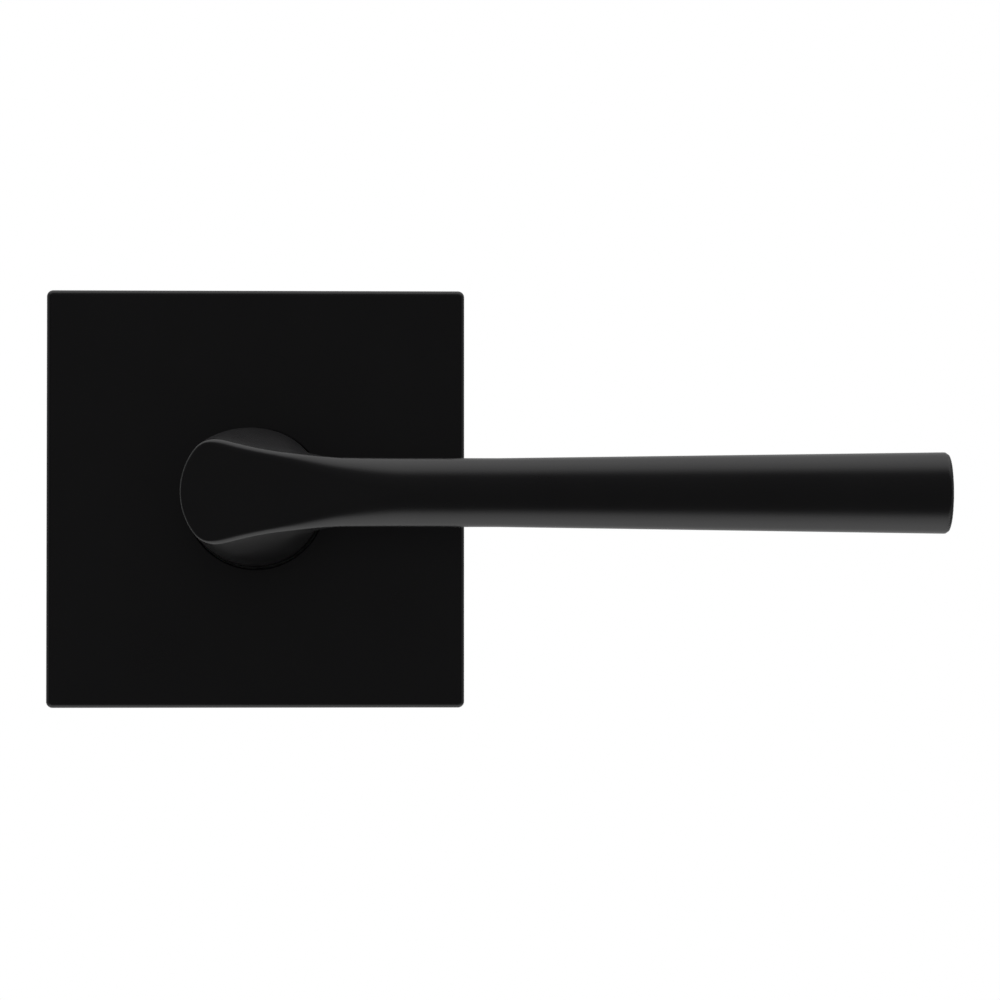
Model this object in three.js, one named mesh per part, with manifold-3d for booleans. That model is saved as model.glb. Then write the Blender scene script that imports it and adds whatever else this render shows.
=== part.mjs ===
// Lever handle for an interior door: one side of a passage set, as it sits on the door.
// Millimetres. +Z is up, +X runs from the spindle to the tip of the lever, and +Y runs into the door.
// The origin is the spindle's axis where it crosses the face of the door (y = 0).
import * as THREE from "three";
import { mergeVertices } from "three/addons/utils/BufferGeometryUtils.js";
import Module from "manifold-3d";

const wasm = await Module();
wasm.setup();

// ---------------------------------------------------------------- driving dimensions

// Clearances
const STILL_GAP = 0.3; // between two pieces that are fastened together
const RUN_GAP = 0.35; // between a turning piece and a still one, on the radius
const END_GAP = 0.2; // between faces that meet along the spindle

// Rose: the square cover plate
const ROSE_SIDE = 66.7;
const ROSE_DEPTH = 8.6;
const ROSE_WALL = 1.6;
const ROSE_EDGE = 0.8; // round of the front edges
const ROSE_CORNER = 1.0; // round of the corners, seen from the front
const NECK_HOLE_GAP = 0.4; // between the neck and the hole in the rose
const RIB_LENGTH = 16; // snap ribs inside the rose's top and bottom walls
const RIB_HEIGHT = 0.5;
const RIB_WIDTH = 1;
const RIB_INSET = 0.6; // from the rose's rear rim to the rib

// Lever: a round neck, a flat fishtail face and a round arm that swells towards the tip
const LEVER_FRONT = 57.6; // from the door to the lever's flat face
const NECK_BASE_R = 10.8;
const NECK_TOP_R = 10.5;
const NECK_RIM = 0.4; // round of the face's rim
const ARM_LENGTH = 105; // from the spindle's axis to the tip
const WAIST_R = 5.17;
const WAIST_AT = 37; // where the arm starts to swell
const TIP_R = 6.15;
const TIP_ROUND = 0.8;
const FLARE_REACH = 16.7; // where the arm's flare has run out, from the spindle's axis
const FLARE_R = 4.8; // how much wider the flare is at the spindle's axis
const FISHTAIL_HALF = 8.3; // half the fishtail's width at the neck's rim
const FISHTAIL_NARROW = 4.1; // half its width where it runs out into the arm
const FISHTAIL_CURVE = 1.35; // how sharply it narrows: 1 is straight
const FISHTAIL_END = 13; // how far from the axis it runs out
const SHOULDER_DEPTH = 15; // how far the fishtail's sloping sides run back
const SHOULDER_SPREAD = 4.4; // and how far out they run

// Mounting plate behind the rose
const PLATE_THICK = 3;
const PLATE_MARGIN = 1.5; // from the plate's edge to the rose's wall
const PLATE_CORNER = 3;
const BOSS_WALL = 1.3; // ring that holds the neck's bush
const BOSS_SETBACK = 1.6; // from the rose's front wall
const BARREL_LENGTH = 3.2; // sleeve that holds the spindle's bush, behind the plate
const BARREL_WALL = 1.7;
const WOOD_SCREW_HOLE_R = 2.1;
const WOOD_SCREW_INSET = 6.75; // from the plate's edges

// Drive tube: carries the lever, turns in the plate, and holds the spindle
const TUBE_R = 7.95;
const TUBE_FLAT = 6.7; // half the distance across its flats
const TUBE_REACH = 24.5; // how far it goes into the neck
const TUBE_END_WALL = 3.4;
const FLANGE_THICK = 1.2;
const THRUST_WASHER_THICK = 0.7;
const BUSH_WALL = 0.75;
const BUSH_FLANGE = 0.85;
const NECK_BUSH_WALL = 2.25;

// Spindle
const SPINDLE_SIDE = 7.9;
const SPINDLE_REACH = 48; // how far it stands out behind the door's face
const SPINDLE_CHAMFER = 0.7;

// Spring case behind the plate, inside the door's cross bore
const CUP_WALL = 1.2;
const CUP_DEPTH = 9; // inside
const EAR_R = 3.4;
const EAR_COUNT = 3;
const CUP_SCREW_R = 1.2;
const CUP_SCREW_HEAD_R = 2.2;
const CUP_SCREW_HEAD = 1.5;

// Return spring and the driver that winds it
const WIRE_R = 0.7;
const COIL_GAP = 0.75; // between the plate's barrel and the coil
const COIL_TURNS = 3;
const COIL_START = 1.6; // the first coil's distance behind the door's face
const COIL_PITCH = 1.6;
const LUG_GAP = 0.6; // between the coil and the lugs that its legs straddle
const LUG_WIDTH = 1.95;
const LUG_HALF_ANGLE = 9; // degrees
const DRIVER_THICK = 1.4;
const TURN_LIMIT = 47; // degrees each way, where the driver meets the stop pin
const STOP_PIN_R = 1;

// Retaining ring and wave washer behind the spring case
const RING_THICK = 0.9;
const RING_WIDTH = 2.8;
const GROOVE_DEPTH = 0.75;
const WAVE_THICK = 0.4;
const WAVE_HEIGHT = 1.1; // room that the wave washer takes up

// Through screws, lock washers
const SCREW_CLEARANCE = 0.6; // between a screw and the nearest of the spring case and the plate's boss
const SCREW_R = 2.4;
const SCREW_REACH = 44; // how far the screws stand out behind the door's face
const SCREW_HEAD_R = 4.3;
const SCREW_HEAD = 2.5;
const WASHER_THICK = 0.8;
const WEB_UNDER_HEAD = 1.4; // plate left under a screw's head

// Rose clips, riveted to the plate's top and bottom edges
const CLIP_WIDTH = 12;
const CLIP_THICK = 0.5;
const CLIP_LEG = 7; // flat leg on the plate's face
const CLIP_NOTCH = 1.2; // depth of the plate's notch for a clip
const RIVET_R = 1.4;
const RIVET_HEAD_R = 2.3;
const RIVET_HEAD = 0.9;

// Set screw under the neck
const SET_SCREW_R = 2.4;
const SET_SCREW_AT = 15; // from the door's face
const SET_SCREW_SOCKET = 2.5; // across flats
const SET_SCREW_RECESS = 0.4;

// ---------------------------------------------------------------- places along the spindle

const roseFace = -ROSE_DEPTH;
const roseInside = roseFace + ROSE_WALL;
const plateFace = -PLATE_THICK;
const thrustFront = plateFace - END_GAP - THRUST_WASHER_THICK;
const flangeBack = thrustFront - END_GAP;
const flangeFront = flangeBack - FLANGE_THICK;
const neckBase = flangeFront - STILL_GAP;
const tubeFront = flangeFront - TUBE_REACH - STILL_GAP;
const boreEnd = tubeFront - STILL_GAP * 4;
const leverFace = -LEVER_FRONT;
const cupFloor = CUP_DEPTH + STILL_GAP;
const cupBack = cupFloor + CUP_WALL;
const waveFront = cupBack + END_GAP;
const ringFront = waveFront + WAVE_HEIGHT + END_GAP;
const ringBack = ringFront + RING_THICK;
const tubeBack = ringBack + 0.8;
const driverBack = cupFloor - END_GAP;
const driverFront = driverBack - DRIVER_THICK;
const coilEnd = COIL_START + COIL_TURNS * COIL_PITCH;

// ---------------------------------------------------------------- radii and half widths

const roseHalf = ROSE_SIDE / 2;
const roseInnerHalf = roseHalf - ROSE_WALL;
const plateHalf = roseInnerHalf - PLATE_MARGIN;
const neckBushIn = NECK_BASE_R + RUN_GAP;
const neckBushOut = neckBushIn + NECK_BUSH_WALL;
const bossIn = neckBushOut + STILL_GAP;
const bossOut = bossIn + BOSS_WALL;
const bushIn = TUBE_R + RUN_GAP;
const bushOut = bushIn + BUSH_WALL;
const barrelIn = bushOut + STILL_GAP;
const barrelOut = barrelIn + BARREL_WALL - STILL_GAP;
const boreR = TUBE_R + STILL_GAP;
const boreFlat = TUBE_FLAT + STILL_GAP;
const flangeR = NECK_BASE_R - STILL_GAP;
const coilR = barrelOut + COIL_GAP + WIRE_R; // to the middle of the wire
const lugIn = coilR + WIRE_R + LUG_GAP;
const lugOut = lugIn + LUG_WIDTH;
const cupInR = lugOut + RUN_GAP;
const cupR = cupInR + CUP_WALL;
const legR = (lugIn + lugOut) / 2; // radius at which the spring's legs run along the lugs
const screwHoleR = SCREW_R + STILL_GAP;
const screwSeatR = SCREW_HEAD_R + STILL_GAP * 2;
const screwX = Math.max(cupR + SCREW_R, bossOut + screwSeatR) + SCREW_CLEARANCE;
const woodScrewAt = plateHalf - WOOD_SCREW_INSET;
const rivetZ = plateHalf - CLIP_NOTCH - CLIP_LEG / 2;
const armY = leverFace + WAIST_R; // the arm's axis

const DEG = Math.PI / 180;
const ROUND = 48; // facets round a large circle
const SMALL_ROUND = 16; // and round a small one

// ---------------------------------------------------------------- solid modelling helpers

// A closed BufferGeometry as a manifold solid, welded, without its zero-area triangles.
function solid(geometry) {
  const bare = geometry.index ? geometry.toNonIndexed() : geometry.clone();
  bare.deleteAttribute("normal");
  bare.deleteAttribute("uv");
  const welded = mergeVertices(bare, 1e-4);
  const index = welded.index.array;
  const kept = [];
  for (let i = 0; i < index.length; i += 3) {
    const [a, b, c] = [index[i], index[i + 1], index[i + 2]];
    if (a !== b && b !== c && c !== a) kept.push(a, b, c);
  }
  const mesh = new wasm.Mesh({
    numProp: 3,
    vertProperties: welded.attributes.position.array,
    triVerts: new Uint32Array(kept),
  });
  return new wasm.Manifold(mesh);
}

// A manifold solid back as a BufferGeometry.
function geometryOf(body) {
  const mesh = body.getMesh();
  const geometry = new THREE.BufferGeometry();
  geometry.setAttribute("position", new THREE.BufferAttribute(mesh.vertProperties, 3));
  geometry.setIndex(new THREE.BufferAttribute(mesh.triVerts, 1));
  geometry.computeVertexNormals();
  return geometry;
}

// A solid turned about the Y axis from [radius, y] corners, given in either direction.
function turned(corners, facets = ROUND) {
  const points = corners.map(([r, y]) => new THREE.Vector2(r, y));
  const inwards = THREE.ShapeUtils.area(points) < 0;
  if (inwards) points.reverse();
  points.push(points[0].clone());
  return solid(new THREE.LatheGeometry(points, facets));
}

// A plain ring about the Y axis.
function ring(inner, outer, front, back, facets = ROUND) {
  return turned([[inner, front], [outer, front], [outer, back], [inner, back]], facets);
}

// A plain disc or rod about the Y axis.
function rod(radius, front, back, facets = ROUND) {
  return turned([[0, front], [radius, front], [radius, back], [0, back]], facets);
}

// An outline drawn as seen from the front, in X and Z, pushed through from y = front to y = back.
function slab(shape, front, back, curveSegments = 8) {
  const geometry = new THREE.ExtrudeGeometry(shape, {
    depth: back - front,
    bevelEnabled: false,
    curveSegments,
  });
  return solid(geometry.rotateX(Math.PI / 2).translate(0, back, 0));
}

// A block between two corners.
function block([x0, y0, z0], [x1, y1, z1]) {
  const geometry = new THREE.BoxGeometry(x1 - x0, y1 - y0, z1 - z0);
  return solid(geometry.translate((x0 + x1) / 2, (y0 + y1) / 2, (z0 + z1) / 2));
}

// A square outline with round corners.
function roundedSquare(half, corner) {
  const shape = new THREE.Shape();
  shape.moveTo(half, -half + corner);
  shape.absarc(half - corner, half - corner, corner, 0, Math.PI / 2, false);
  shape.absarc(-half + corner, half - corner, corner, Math.PI / 2, Math.PI, false);
  shape.absarc(-half + corner, -half + corner, corner, Math.PI, 1.5 * Math.PI, false);
  shape.absarc(half - corner, -half + corner, corner, 1.5 * Math.PI, 2 * Math.PI, false);
  return shape;
}

// A piece of a ring, between two angles in degrees from +X towards +Z.
function sector(inner, outer, from, to) {
  const shape = new THREE.Shape();
  shape.absarc(0, 0, outer, from * DEG, to * DEG, false);
  shape.absarc(0, 0, inner, to * DEG, from * DEG, true);
  return shape;
}

// Both sides of a round solid cut back to flats at z = -half and z = +half.
function withFlats(body, half, front, back) {
  const wide = 2 * cupR;
  const above = block([-wide, front, half], [wide, back, wide]);
  const below = block([-wide, front, -wide], [wide, back, -half]);
  return body.subtract(above).subtract(below);
}

// ---------------------------------------------------------------- materials

function metal(color, roughness, metalness = 1) {
  return new THREE.MeshStandardMaterial({ color, roughness, metalness });
}

const SATIN_BLACK = metal("#16151a", 0.42, 0.3);
const ZINC = metal("#8f9296", 0.5);
const PLATED_STEEL = metal("#b9bcc0", 0.35);
const SPRING_STEEL = metal("#6d7075", 0.35);
const BRONZE = metal("#a67c46", 0.45);
const BLACK_OXIDE = metal("#1c1c1e", 0.45, 0.7);
const NYLON = metal("#e9e6dc", 0.5, 0);

// ---------------------------------------------------------------- the rose

function roseCover() {
  const edge = ROSE_EDGE;
  const extra = 2 * edge; // rear bevel that is cut away
  const geometry = new THREE.ExtrudeGeometry(roundedSquare(roseHalf - edge, ROSE_CORNER - edge), {
    depth: ROSE_DEPTH - edge + extra,
    bevelThickness: edge,
    bevelSize: edge,
    bevelSegments: 4,
    curveSegments: 5,
  });
  const outer = solid(geometry.rotateX(Math.PI / 2).translate(0, extra, 0));
  const behindDoorFace = block([-ROSE_SIDE, 0, -ROSE_SIDE], [ROSE_SIDE, ROSE_DEPTH, ROSE_SIDE]);
  const pocket = slab(roundedSquare(roseInnerHalf, ROSE_CORNER), roseInside, ROSE_WALL);
  const neckHole = rod(NECK_BASE_R + NECK_HOLE_GAP, roseFace - 1, 1);
  let cover = outer.subtract(behindDoorFace).subtract(pocket).subtract(neckHole);
  for (const side of [-1, 1]) {
    const rib = block(
      [-RIB_LENGTH / 2, -RIB_INSET - RIB_WIDTH, roseInnerHalf - RIB_HEIGHT],
      [RIB_LENGTH / 2, -RIB_INSET, roseInnerHalf + ROSE_WALL / 2],
    );
    cover = cover.add(side > 0 ? rib : rib.mirror([0, 0, 1]));
  }
  return cover;
}

// ---------------------------------------------------------------- the lever

// Half the width of the fishtail face at x: straight from the rim, then easing out into the arm.
function fishtailHalf(x) {
  const start = -Math.sqrt(NECK_TOP_R ** 2 - FISHTAIL_HALF ** 2);
  const t = THREE.MathUtils.clamp((x - start) / (FISHTAIL_END - start), 0, 1);
  const eased = 1 - (1 - t) ** FISHTAIL_CURVE;
  return THREE.MathUtils.lerp(FISHTAIL_HALF, FISHTAIL_NARROW, eased);
}

// The face's outline, left open-ended past the neck's rim and past the tip of the arm.
function fishtailShape() {
  const start = -NECK_TOP_R * 1.3;
  const steps = 14;
  const top = [];
  for (let i = 0; i <= steps; i += 1) {
    const x = THREE.MathUtils.lerp(start, FISHTAIL_END, i / steps);
    top.push(new THREE.Vector2(x, fishtailHalf(x)));
  }
  top.push(new THREE.Vector2(ARM_LENGTH * 1.2, FISHTAIL_NARROW + TIP_R - WAIST_R));
  const bottom = top.map((p) => new THREE.Vector2(p.x, -p.y)).reverse();
  return new THREE.Shape([...bottom, ...top]);
}

// The arm's radius at x: a waist, then a slow swell to the tip.
function armRadius(x) {
  const swell = Math.max(0, x - WAIST_AT) / (ARM_LENGTH - WAIST_AT);
  return WAIST_R + (TIP_R - WAIST_R) * swell;
}

// A solid turned about Y, laid along X with its axis at the lever's depth.
function alongArm(corners, facets) {
  return turned(corners, facets).rotate([0, 0, -90]).translate([0, armY, 0]);
}

function arm() {
  const roundSteps = 4;
  const roundFrom = ARM_LENGTH - TIP_ROUND;
  const profile = [[0, 0], [WAIST_R, 0], [WAIST_R, WAIST_AT]];
  for (let i = 0; i <= roundSteps; i += 1) {
    const angle = (i / roundSteps) * 90 * DEG;
    const radius = armRadius(roundFrom) - TIP_ROUND * (1 - Math.cos(angle));
    profile.push([radius, roundFrom + TIP_ROUND * Math.sin(angle)]);
  }
  profile.push([0, ARM_LENGTH]);
  return alongArm(profile, 40);
}

// The trumpet by which the neck runs out into the arm.
function armFlare() {
  const steps = 8;
  const profile = [[0, 0]];
  for (let i = 0; i <= steps; i += 1) {
    const x = (i / steps) * FLARE_REACH;
    profile.push([WAIST_R - END_GAP / 4 + FLARE_R * (1 - x / FLARE_REACH) ** 2, x]);
  }
  profile.push([0, FLARE_REACH]);
  return alongArm(profile, 40);
}

function lever() {
  const neck = turned([
    [0, leverFace],
    [NECK_TOP_R - NECK_RIM, leverFace],
    [NECK_TOP_R, leverFace + NECK_RIM],
    [NECK_BASE_R, roseFace],
    [NECK_BASE_R, neckBase],
    [0, neckBase],
  ]);
  // The fishtail's sides slope outwards as they run back, and then run straight to the door.
  const geometry = new THREE.ExtrudeGeometry(fishtailShape(), {
    depth: LEVER_FRONT,
    bevelThickness: SHOULDER_DEPTH,
    bevelSize: SHOULDER_SPREAD,
    bevelSegments: 1,
  });
  const fishtail = solid(
    geometry.rotateX(Math.PI / 2).translate(0, leverFace + SHOULDER_DEPTH + LEVER_FRONT, 0),
  );
  const body = neck.add(armFlare()).intersect(fishtail).add(arm());
  const bore = withFlats(rod(boreR, boreEnd, 1), boreFlat, boreEnd - 1, 2);
  const screwHole = rod(SET_SCREW_R + STILL_GAP, 0, NECK_BASE_R * 1.5, SMALL_ROUND)
    .rotate([-90, 0, 0])
    .translate([0, -SET_SCREW_AT, 0]);
  return body.subtract(bore).subtract(screwHole);
}

// ---------------------------------------------------------------- mounting plate and its fixings

function mountingPlate() {
  const across = [-1, 1];
  const base = slab(roundedSquare(plateHalf, PLATE_CORNER), plateFace, 0);
  const bossFront = roseInside + BOSS_SETBACK;
  const boss = ring(bossIn, bossOut, bossFront, plateFace + 1);
  const barrel = ring(barrelIn, barrelOut, -1, BARREL_LENGTH);
  const lugAngle = LUG_HALF_ANGLE;
  const lug = slab(sector(lugIn, lugOut, -90 - lugAngle, -90 + lugAngle), -1, coilEnd / 2 + END_GAP);
  let plate = base.add(boss).add(barrel).add(lug);
  plate = plate.subtract(rod(barrelIn, plateFace - 1, BARREL_LENGTH + 1));
  for (const side of across) {
    const hole = rod(screwHoleR, plateFace - 3, 1, SMALL_ROUND);
    const seat = rod(screwSeatR, bossFront - 1, -WEB_UNDER_HEAD, SMALL_ROUND);
    plate = plate.subtract(hole.add(seat).translate([side * screwX, 0, 0]));
    const notch = block(
      [-CLIP_WIDTH / 2 - STILL_GAP, plateFace - 1, plateHalf - CLIP_NOTCH],
      [CLIP_WIDTH / 2 + STILL_GAP, 1, plateHalf + 1],
    );
    const rivetHole = rod(RIVET_R + STILL_GAP / 2, plateFace - 1, 1, SMALL_ROUND)
      .translate([0, 0, rivetZ]);
    const clipCuts = notch.add(rivetHole);
    plate = plate.subtract(side > 0 ? clipCuts : clipCuts.mirror([0, 0, 1]));
    for (const up of across) {
      const spare = rod(WOOD_SCREW_HOLE_R, plateFace - 1, 1, SMALL_ROUND);
      plate = plate.subtract(spare.translate([side * woodScrewAt, 0, up * woodScrewAt]));
    }
  }
  for (const [x, z] of earPlaces()) {
    const tapped = rod(CUP_SCREW_R + STILL_GAP, plateFace + 0.6, 1, SMALL_ROUND);
    plate = plate.subtract(tapped.translate([x, 0, z]));
  }
  return plate;
}

// A pan-head machine screw along +Y, with its head's seat at y = 0 and a cross recess.
function machineScrew(radius, headRadius, headHeight, reach) {
  const body = turned([
    [0, -headHeight],
    [headRadius * 0.62, -headHeight],
    [headRadius * 0.92, -headHeight * 0.72],
    [headRadius, -headHeight * 0.4],
    [headRadius, 0],
    [radius, 0],
    [radius, reach - radius * 0.3],
    [radius * 0.7, reach],
    [0, reach],
  ], SMALL_ROUND);
  const arm = headRadius * 0.55;
  const slot = headRadius * 0.13;
  const deep = -headHeight * 0.4;
  const out = -headHeight - 1;
  return body
    .subtract(block([-arm, out, -slot], [arm, deep, slot]))
    .subtract(block([-slot, out, -arm], [slot, deep, arm]));
}

// A split spring washer whose front face is at y = 0.
function lockWasher() {
  const washer = ring(SCREW_R + STILL_GAP * 0.8, SCREW_HEAD_R, 0, WASHER_THICK, SMALL_ROUND);
  return washer.subtract(block([-0.4, -1, 0], [0.4, WASHER_THICK + 1, SCREW_HEAD_R * 2]));
}

// A leaf clip: a flat leg on the plate, and a bow that catches behind the rose's rib.
function roseClip() {
  const leg = plateFace - END_GAP - CLIP_THICK / 2;
  const edge = plateHalf;
  const bow = roseInnerHalf - STILL_GAP - CLIP_THICK / 2;
  const catchY = -RIB_INSET - RIB_WIDTH - CLIP_THICK / 2 - STILL_GAP;
  const line = [
    [edge - CLIP_LEG - 1, leg],
    [edge - 0.6, leg],
    [bow - 0.3, leg + 0.35],
    [bow, catchY],
    [bow - 0.7, -RIB_INSET - RIB_WIDTH / 2],
    [edge - 0.4, -RIB_INSET],
  ].map(([z, y]) => new THREE.Vector2(z, y));
  const half = CLIP_THICK / 2;
  const sides = [[], []];
  line.forEach((point, i) => {
    const before = line[Math.max(0, i - 1)];
    const after = line[Math.min(line.length - 1, i + 1)];
    const across = after.clone().sub(before).normalize().rotateAround(new THREE.Vector2(), Math.PI / 2);
    sides[0].push(point.clone().addScaledVector(across, half));
    sides[1].push(point.clone().addScaledVector(across, -half));
  });
  const shape = new THREE.Shape([...sides[0], ...sides[1].reverse()]);
  const geometry = new THREE.ExtrudeGeometry(shape, { depth: CLIP_WIDTH, bevelEnabled: false });
  // The outline's X and Y are the part's Z and Y, and the push runs across the part's X.
  const strip = solid(geometry.rotateY(-Math.PI / 2).translate(CLIP_WIDTH / 2, 0, 0));
  const rivetHole = rod(RIVET_R + STILL_GAP / 2, plateFace - 3, plateFace + 1, SMALL_ROUND);
  return strip.subtract(rivetHole.translate([0, 0, rivetZ]));
}

// A rivet through a clip and the plate, with its head in front of the clip.
function clipRivet() {
  const headBack = plateFace - 2 * END_GAP - CLIP_THICK;
  return turned([
    [0, headBack - RIVET_HEAD],
    [RIVET_HEAD_R * 0.6, headBack - RIVET_HEAD],
    [RIVET_HEAD_R, headBack - RIVET_HEAD * 0.4],
    [RIVET_HEAD_R, headBack],
    [RIVET_R, headBack],
    [RIVET_R, -END_GAP],
    [0, -END_GAP],
  ], SMALL_ROUND);
}

// ---------------------------------------------------------------- drive tube, bushes and spindle

function driveTube() {
  const groove = TUBE_R - GROOVE_DEPTH;
  const round = turned([
    [0, tubeFront],
    [TUBE_R - 0.5, tubeFront],
    [TUBE_R, tubeFront + 0.5],
    [TUBE_R, flangeFront],
    [flangeR, flangeFront],
    [flangeR, flangeBack],
    [TUBE_R, flangeBack],
    [TUBE_R, ringFront - 0.1],
    [groove, ringFront - 0.1],
    [groove, ringBack + 0.1],
    [TUBE_R, ringBack + 0.1],
    [TUBE_R, tubeBack],
    [0, tubeBack],
  ], 48);
  const front = withFlats(round, TUBE_FLAT, tubeFront - 1, flangeFront);
  const keyed = withFlats(front, TUBE_FLAT, driverFront - 0.3, tubeBack + 1);
  const half = SPINDLE_SIDE / 2 + STILL_GAP;
  return keyed.subtract(block([-half, tubeFront + TUBE_END_WALL, -half], [half, tubeBack + 1, half]));
}

function spindle() {
  const half = SPINDLE_SIDE / 2 - SPINDLE_CHAMFER;
  const front = tubeFront + TUBE_END_WALL + STILL_GAP;
  const geometry = new THREE.ExtrudeGeometry(roundedSquare(half, 0.1), {
    depth: SPINDLE_REACH - front - 2 * SPINDLE_CHAMFER,
    bevelThickness: SPINDLE_CHAMFER,
    bevelSize: SPINDLE_CHAMFER,
    bevelSegments: 1,
    curveSegments: 1,
  });
  return solid(geometry.rotateX(Math.PI / 2).translate(0, SPINDLE_REACH - SPINDLE_CHAMFER, 0));
}

function bearingBush() {
  const flangeAt = BARREL_LENGTH + END_GAP;
  return turned([
    [bushIn, plateFace + END_GAP],
    [bushOut, plateFace + END_GAP],
    [bushOut, flangeAt],
    [barrelOut, flangeAt],
    [barrelOut, flangeAt + BUSH_FLANGE],
    [bushIn, flangeAt + BUSH_FLANGE],
  ]);
}

// An open retaining ring with two pierced ends, its gap at the bottom.
function retainingRing() {
  const inner = TUBE_R - GROOVE_DEPTH + STILL_GAP * 0.8;
  const outer = inner + RING_WIDTH;
  const open = 22; // half the gap, in degrees
  let body = slab(sector(inner, outer, -90 + open, 270 - open), ringFront, ringBack, 28);
  for (const side of [-1, 1]) {
    const angle = (-90 + side * (open + 7)) * DEG;
    const middle = inner + RING_WIDTH * 0.62;
    const place = [middle * Math.cos(angle), 0, middle * Math.sin(angle)];
    body = body.add(rod(RING_WIDTH * 0.62, ringFront, ringBack, 16).translate(place));
    body = body.subtract(rod(0.6, ringFront - 1, ringBack + 1, 12).translate(place));
  }
  return body;
}

// ---------------------------------------------------------------- spring case, spring and driver

function earPlaces() {
  const places = [];
  for (let i = 0; i < EAR_COUNT; i += 1) {
    const angle = (90 + (i * 360) / EAR_COUNT) * DEG;
    const radius = cupR + EAR_R * 0.75;
    places.push([radius * Math.cos(angle), radius * Math.sin(angle)]);
  }
  return places;
}

function springCup() {
  let cup = turned([
    [cupInR, STILL_GAP],
    [cupR, STILL_GAP],
    [cupR, cupBack],
    [TUBE_R + RUN_GAP * 2, cupBack],
    [TUBE_R + RUN_GAP * 2, cupFloor],
    [cupInR, cupFloor],
  ]);
  for (const [x, z] of earPlaces()) {
    const ear = rod(EAR_R, STILL_GAP, STILL_GAP + CUP_WALL, SMALL_ROUND).translate([x, 0, z]);
    const hole = rod(CUP_SCREW_R + STILL_GAP, -1, CUP_WALL * 3, SMALL_ROUND).translate([x, 0, z]);
    cup = cup.add(ear).subtract(rod(cupInR, -1, cupFloor)).subtract(hole);
  }
  const pinHole = rod(STOP_PIN_R + STILL_GAP / 2, cupFloor - 1, cupBack + 1, SMALL_ROUND);
  return cup.subtract(pinHole.translate([0, 0, legR]));
}

// The spring's centreline: a leg along the lugs, the coil, and the other leg along the lugs.
class SpringPath extends THREE.Curve {
  getPoint(t, target = new THREE.Vector3()) {
    const legs = 0.1; // share of t spent on each leg
    const reach = LUG_HALF_ANGLE + (STILL_GAP + WIRE_R) / legR / DEG; // of each leg, past the lugs' middle
    const sweep = COIL_TURNS * 360 + 2 * reach;
    const along = THREE.MathUtils.clamp((t - legs) / (1 - 2 * legs), 0, 1);
    const angle = (-90 + reach - sweep * along) * DEG;
    let y = THREE.MathUtils.lerp(COIL_START, coilEnd, along);
    let radius = coilR;
    const out = t < legs ? 1 - t / legs : t > 1 - legs ? (t - 1 + legs) / legs : 0;
    if (out > 0) {
      const bend = Math.min(1, out / 0.4);
      radius = THREE.MathUtils.lerp(coilR, legR, Math.sin(bend * 90 * DEG));
      const run = Math.max(0, (out - 0.25) / 0.75) * (coilEnd - COIL_START - 1);
      y += t < 0.5 ? run : -run;
    }
    return target.set(radius * Math.cos(angle), y, radius * Math.sin(angle));
  }
}

function returnSpring() {
  const sides = 6;
  const wire = new THREE.Shape();
  for (let i = 0; i < sides; i += 1) {
    const angle = (i / sides) * 2 * Math.PI;
    wire[i ? "lineTo" : "moveTo"](WIRE_R * Math.cos(angle), WIRE_R * Math.sin(angle));
  }
  const geometry = new THREE.ExtrudeGeometry(wire, {
    steps: 96,
    extrudePath: new SpringPath(),
    bevelEnabled: false,
  });
  return solid(geometry);
}

// A disc keyed to the drive tube. Its finger winds the spring, and its notch meets the stop pin.
function springDriver() {
  const outer = lugOut;
  const pinAngle = (STOP_PIN_R + END_GAP) / legR / DEG;
  const notch = TURN_LIMIT + pinAngle;
  const disc = rod(outer, driverFront, driverBack);
  const notchIn = legR - STOP_PIN_R - RUN_GAP;
  const cut = slab(sector(notchIn, outer + 1, 90 - notch, 90 + notch), driverFront - 1, driverBack + 1, 16);
  const fingerFront = coilEnd / 2 + 2 * END_GAP + STILL_GAP;
  const halfAngle = LUG_HALF_ANGLE;
  const finger = slab(
    sector(lugIn, outer, -90 - halfAngle, -90 + halfAngle), fingerFront, driverFront + DRIVER_THICK / 2,
  );
  const hole = rod(boreR, driverFront - 1, driverBack + 1);
  const keyhole = withFlats(hole, boreFlat, driverFront - 2, driverBack + 2);
  return disc.subtract(cut).subtract(keyhole).add(finger);
}

// ---------------------------------------------------------------- set screw

// A grub screw along +Y with a hex socket, its outer end at y = 0.
function setScrew() {
  const length = NECK_BASE_R - SET_SCREW_RECESS - TUBE_FLAT - STILL_GAP;
  const body = turned([
    [0, 0],
    [SET_SCREW_R - 0.3, 0],
    [SET_SCREW_R, 0.3],
    [SET_SCREW_R, length - 0.8],
    [SET_SCREW_R - 0.8, length],
    [0, length],
  ], SMALL_ROUND);
  const socket = rod(SET_SCREW_SOCKET / Math.sqrt(3), -1, length * 0.5, 6);
  return body.subtract(socket);
}

// ---------------------------------------------------------------- assembly

const assembly = new THREE.Group();

function place(parent, name, body, material, position = [0, 0, 0], rotation = [0, 0, 0]) {
  const mesh = new THREE.Mesh(geometryOf(body), material);
  mesh.name = name;
  mesh.position.set(...position);
  mesh.rotation.set(...rotation);
  parent.add(mesh);
}

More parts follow.
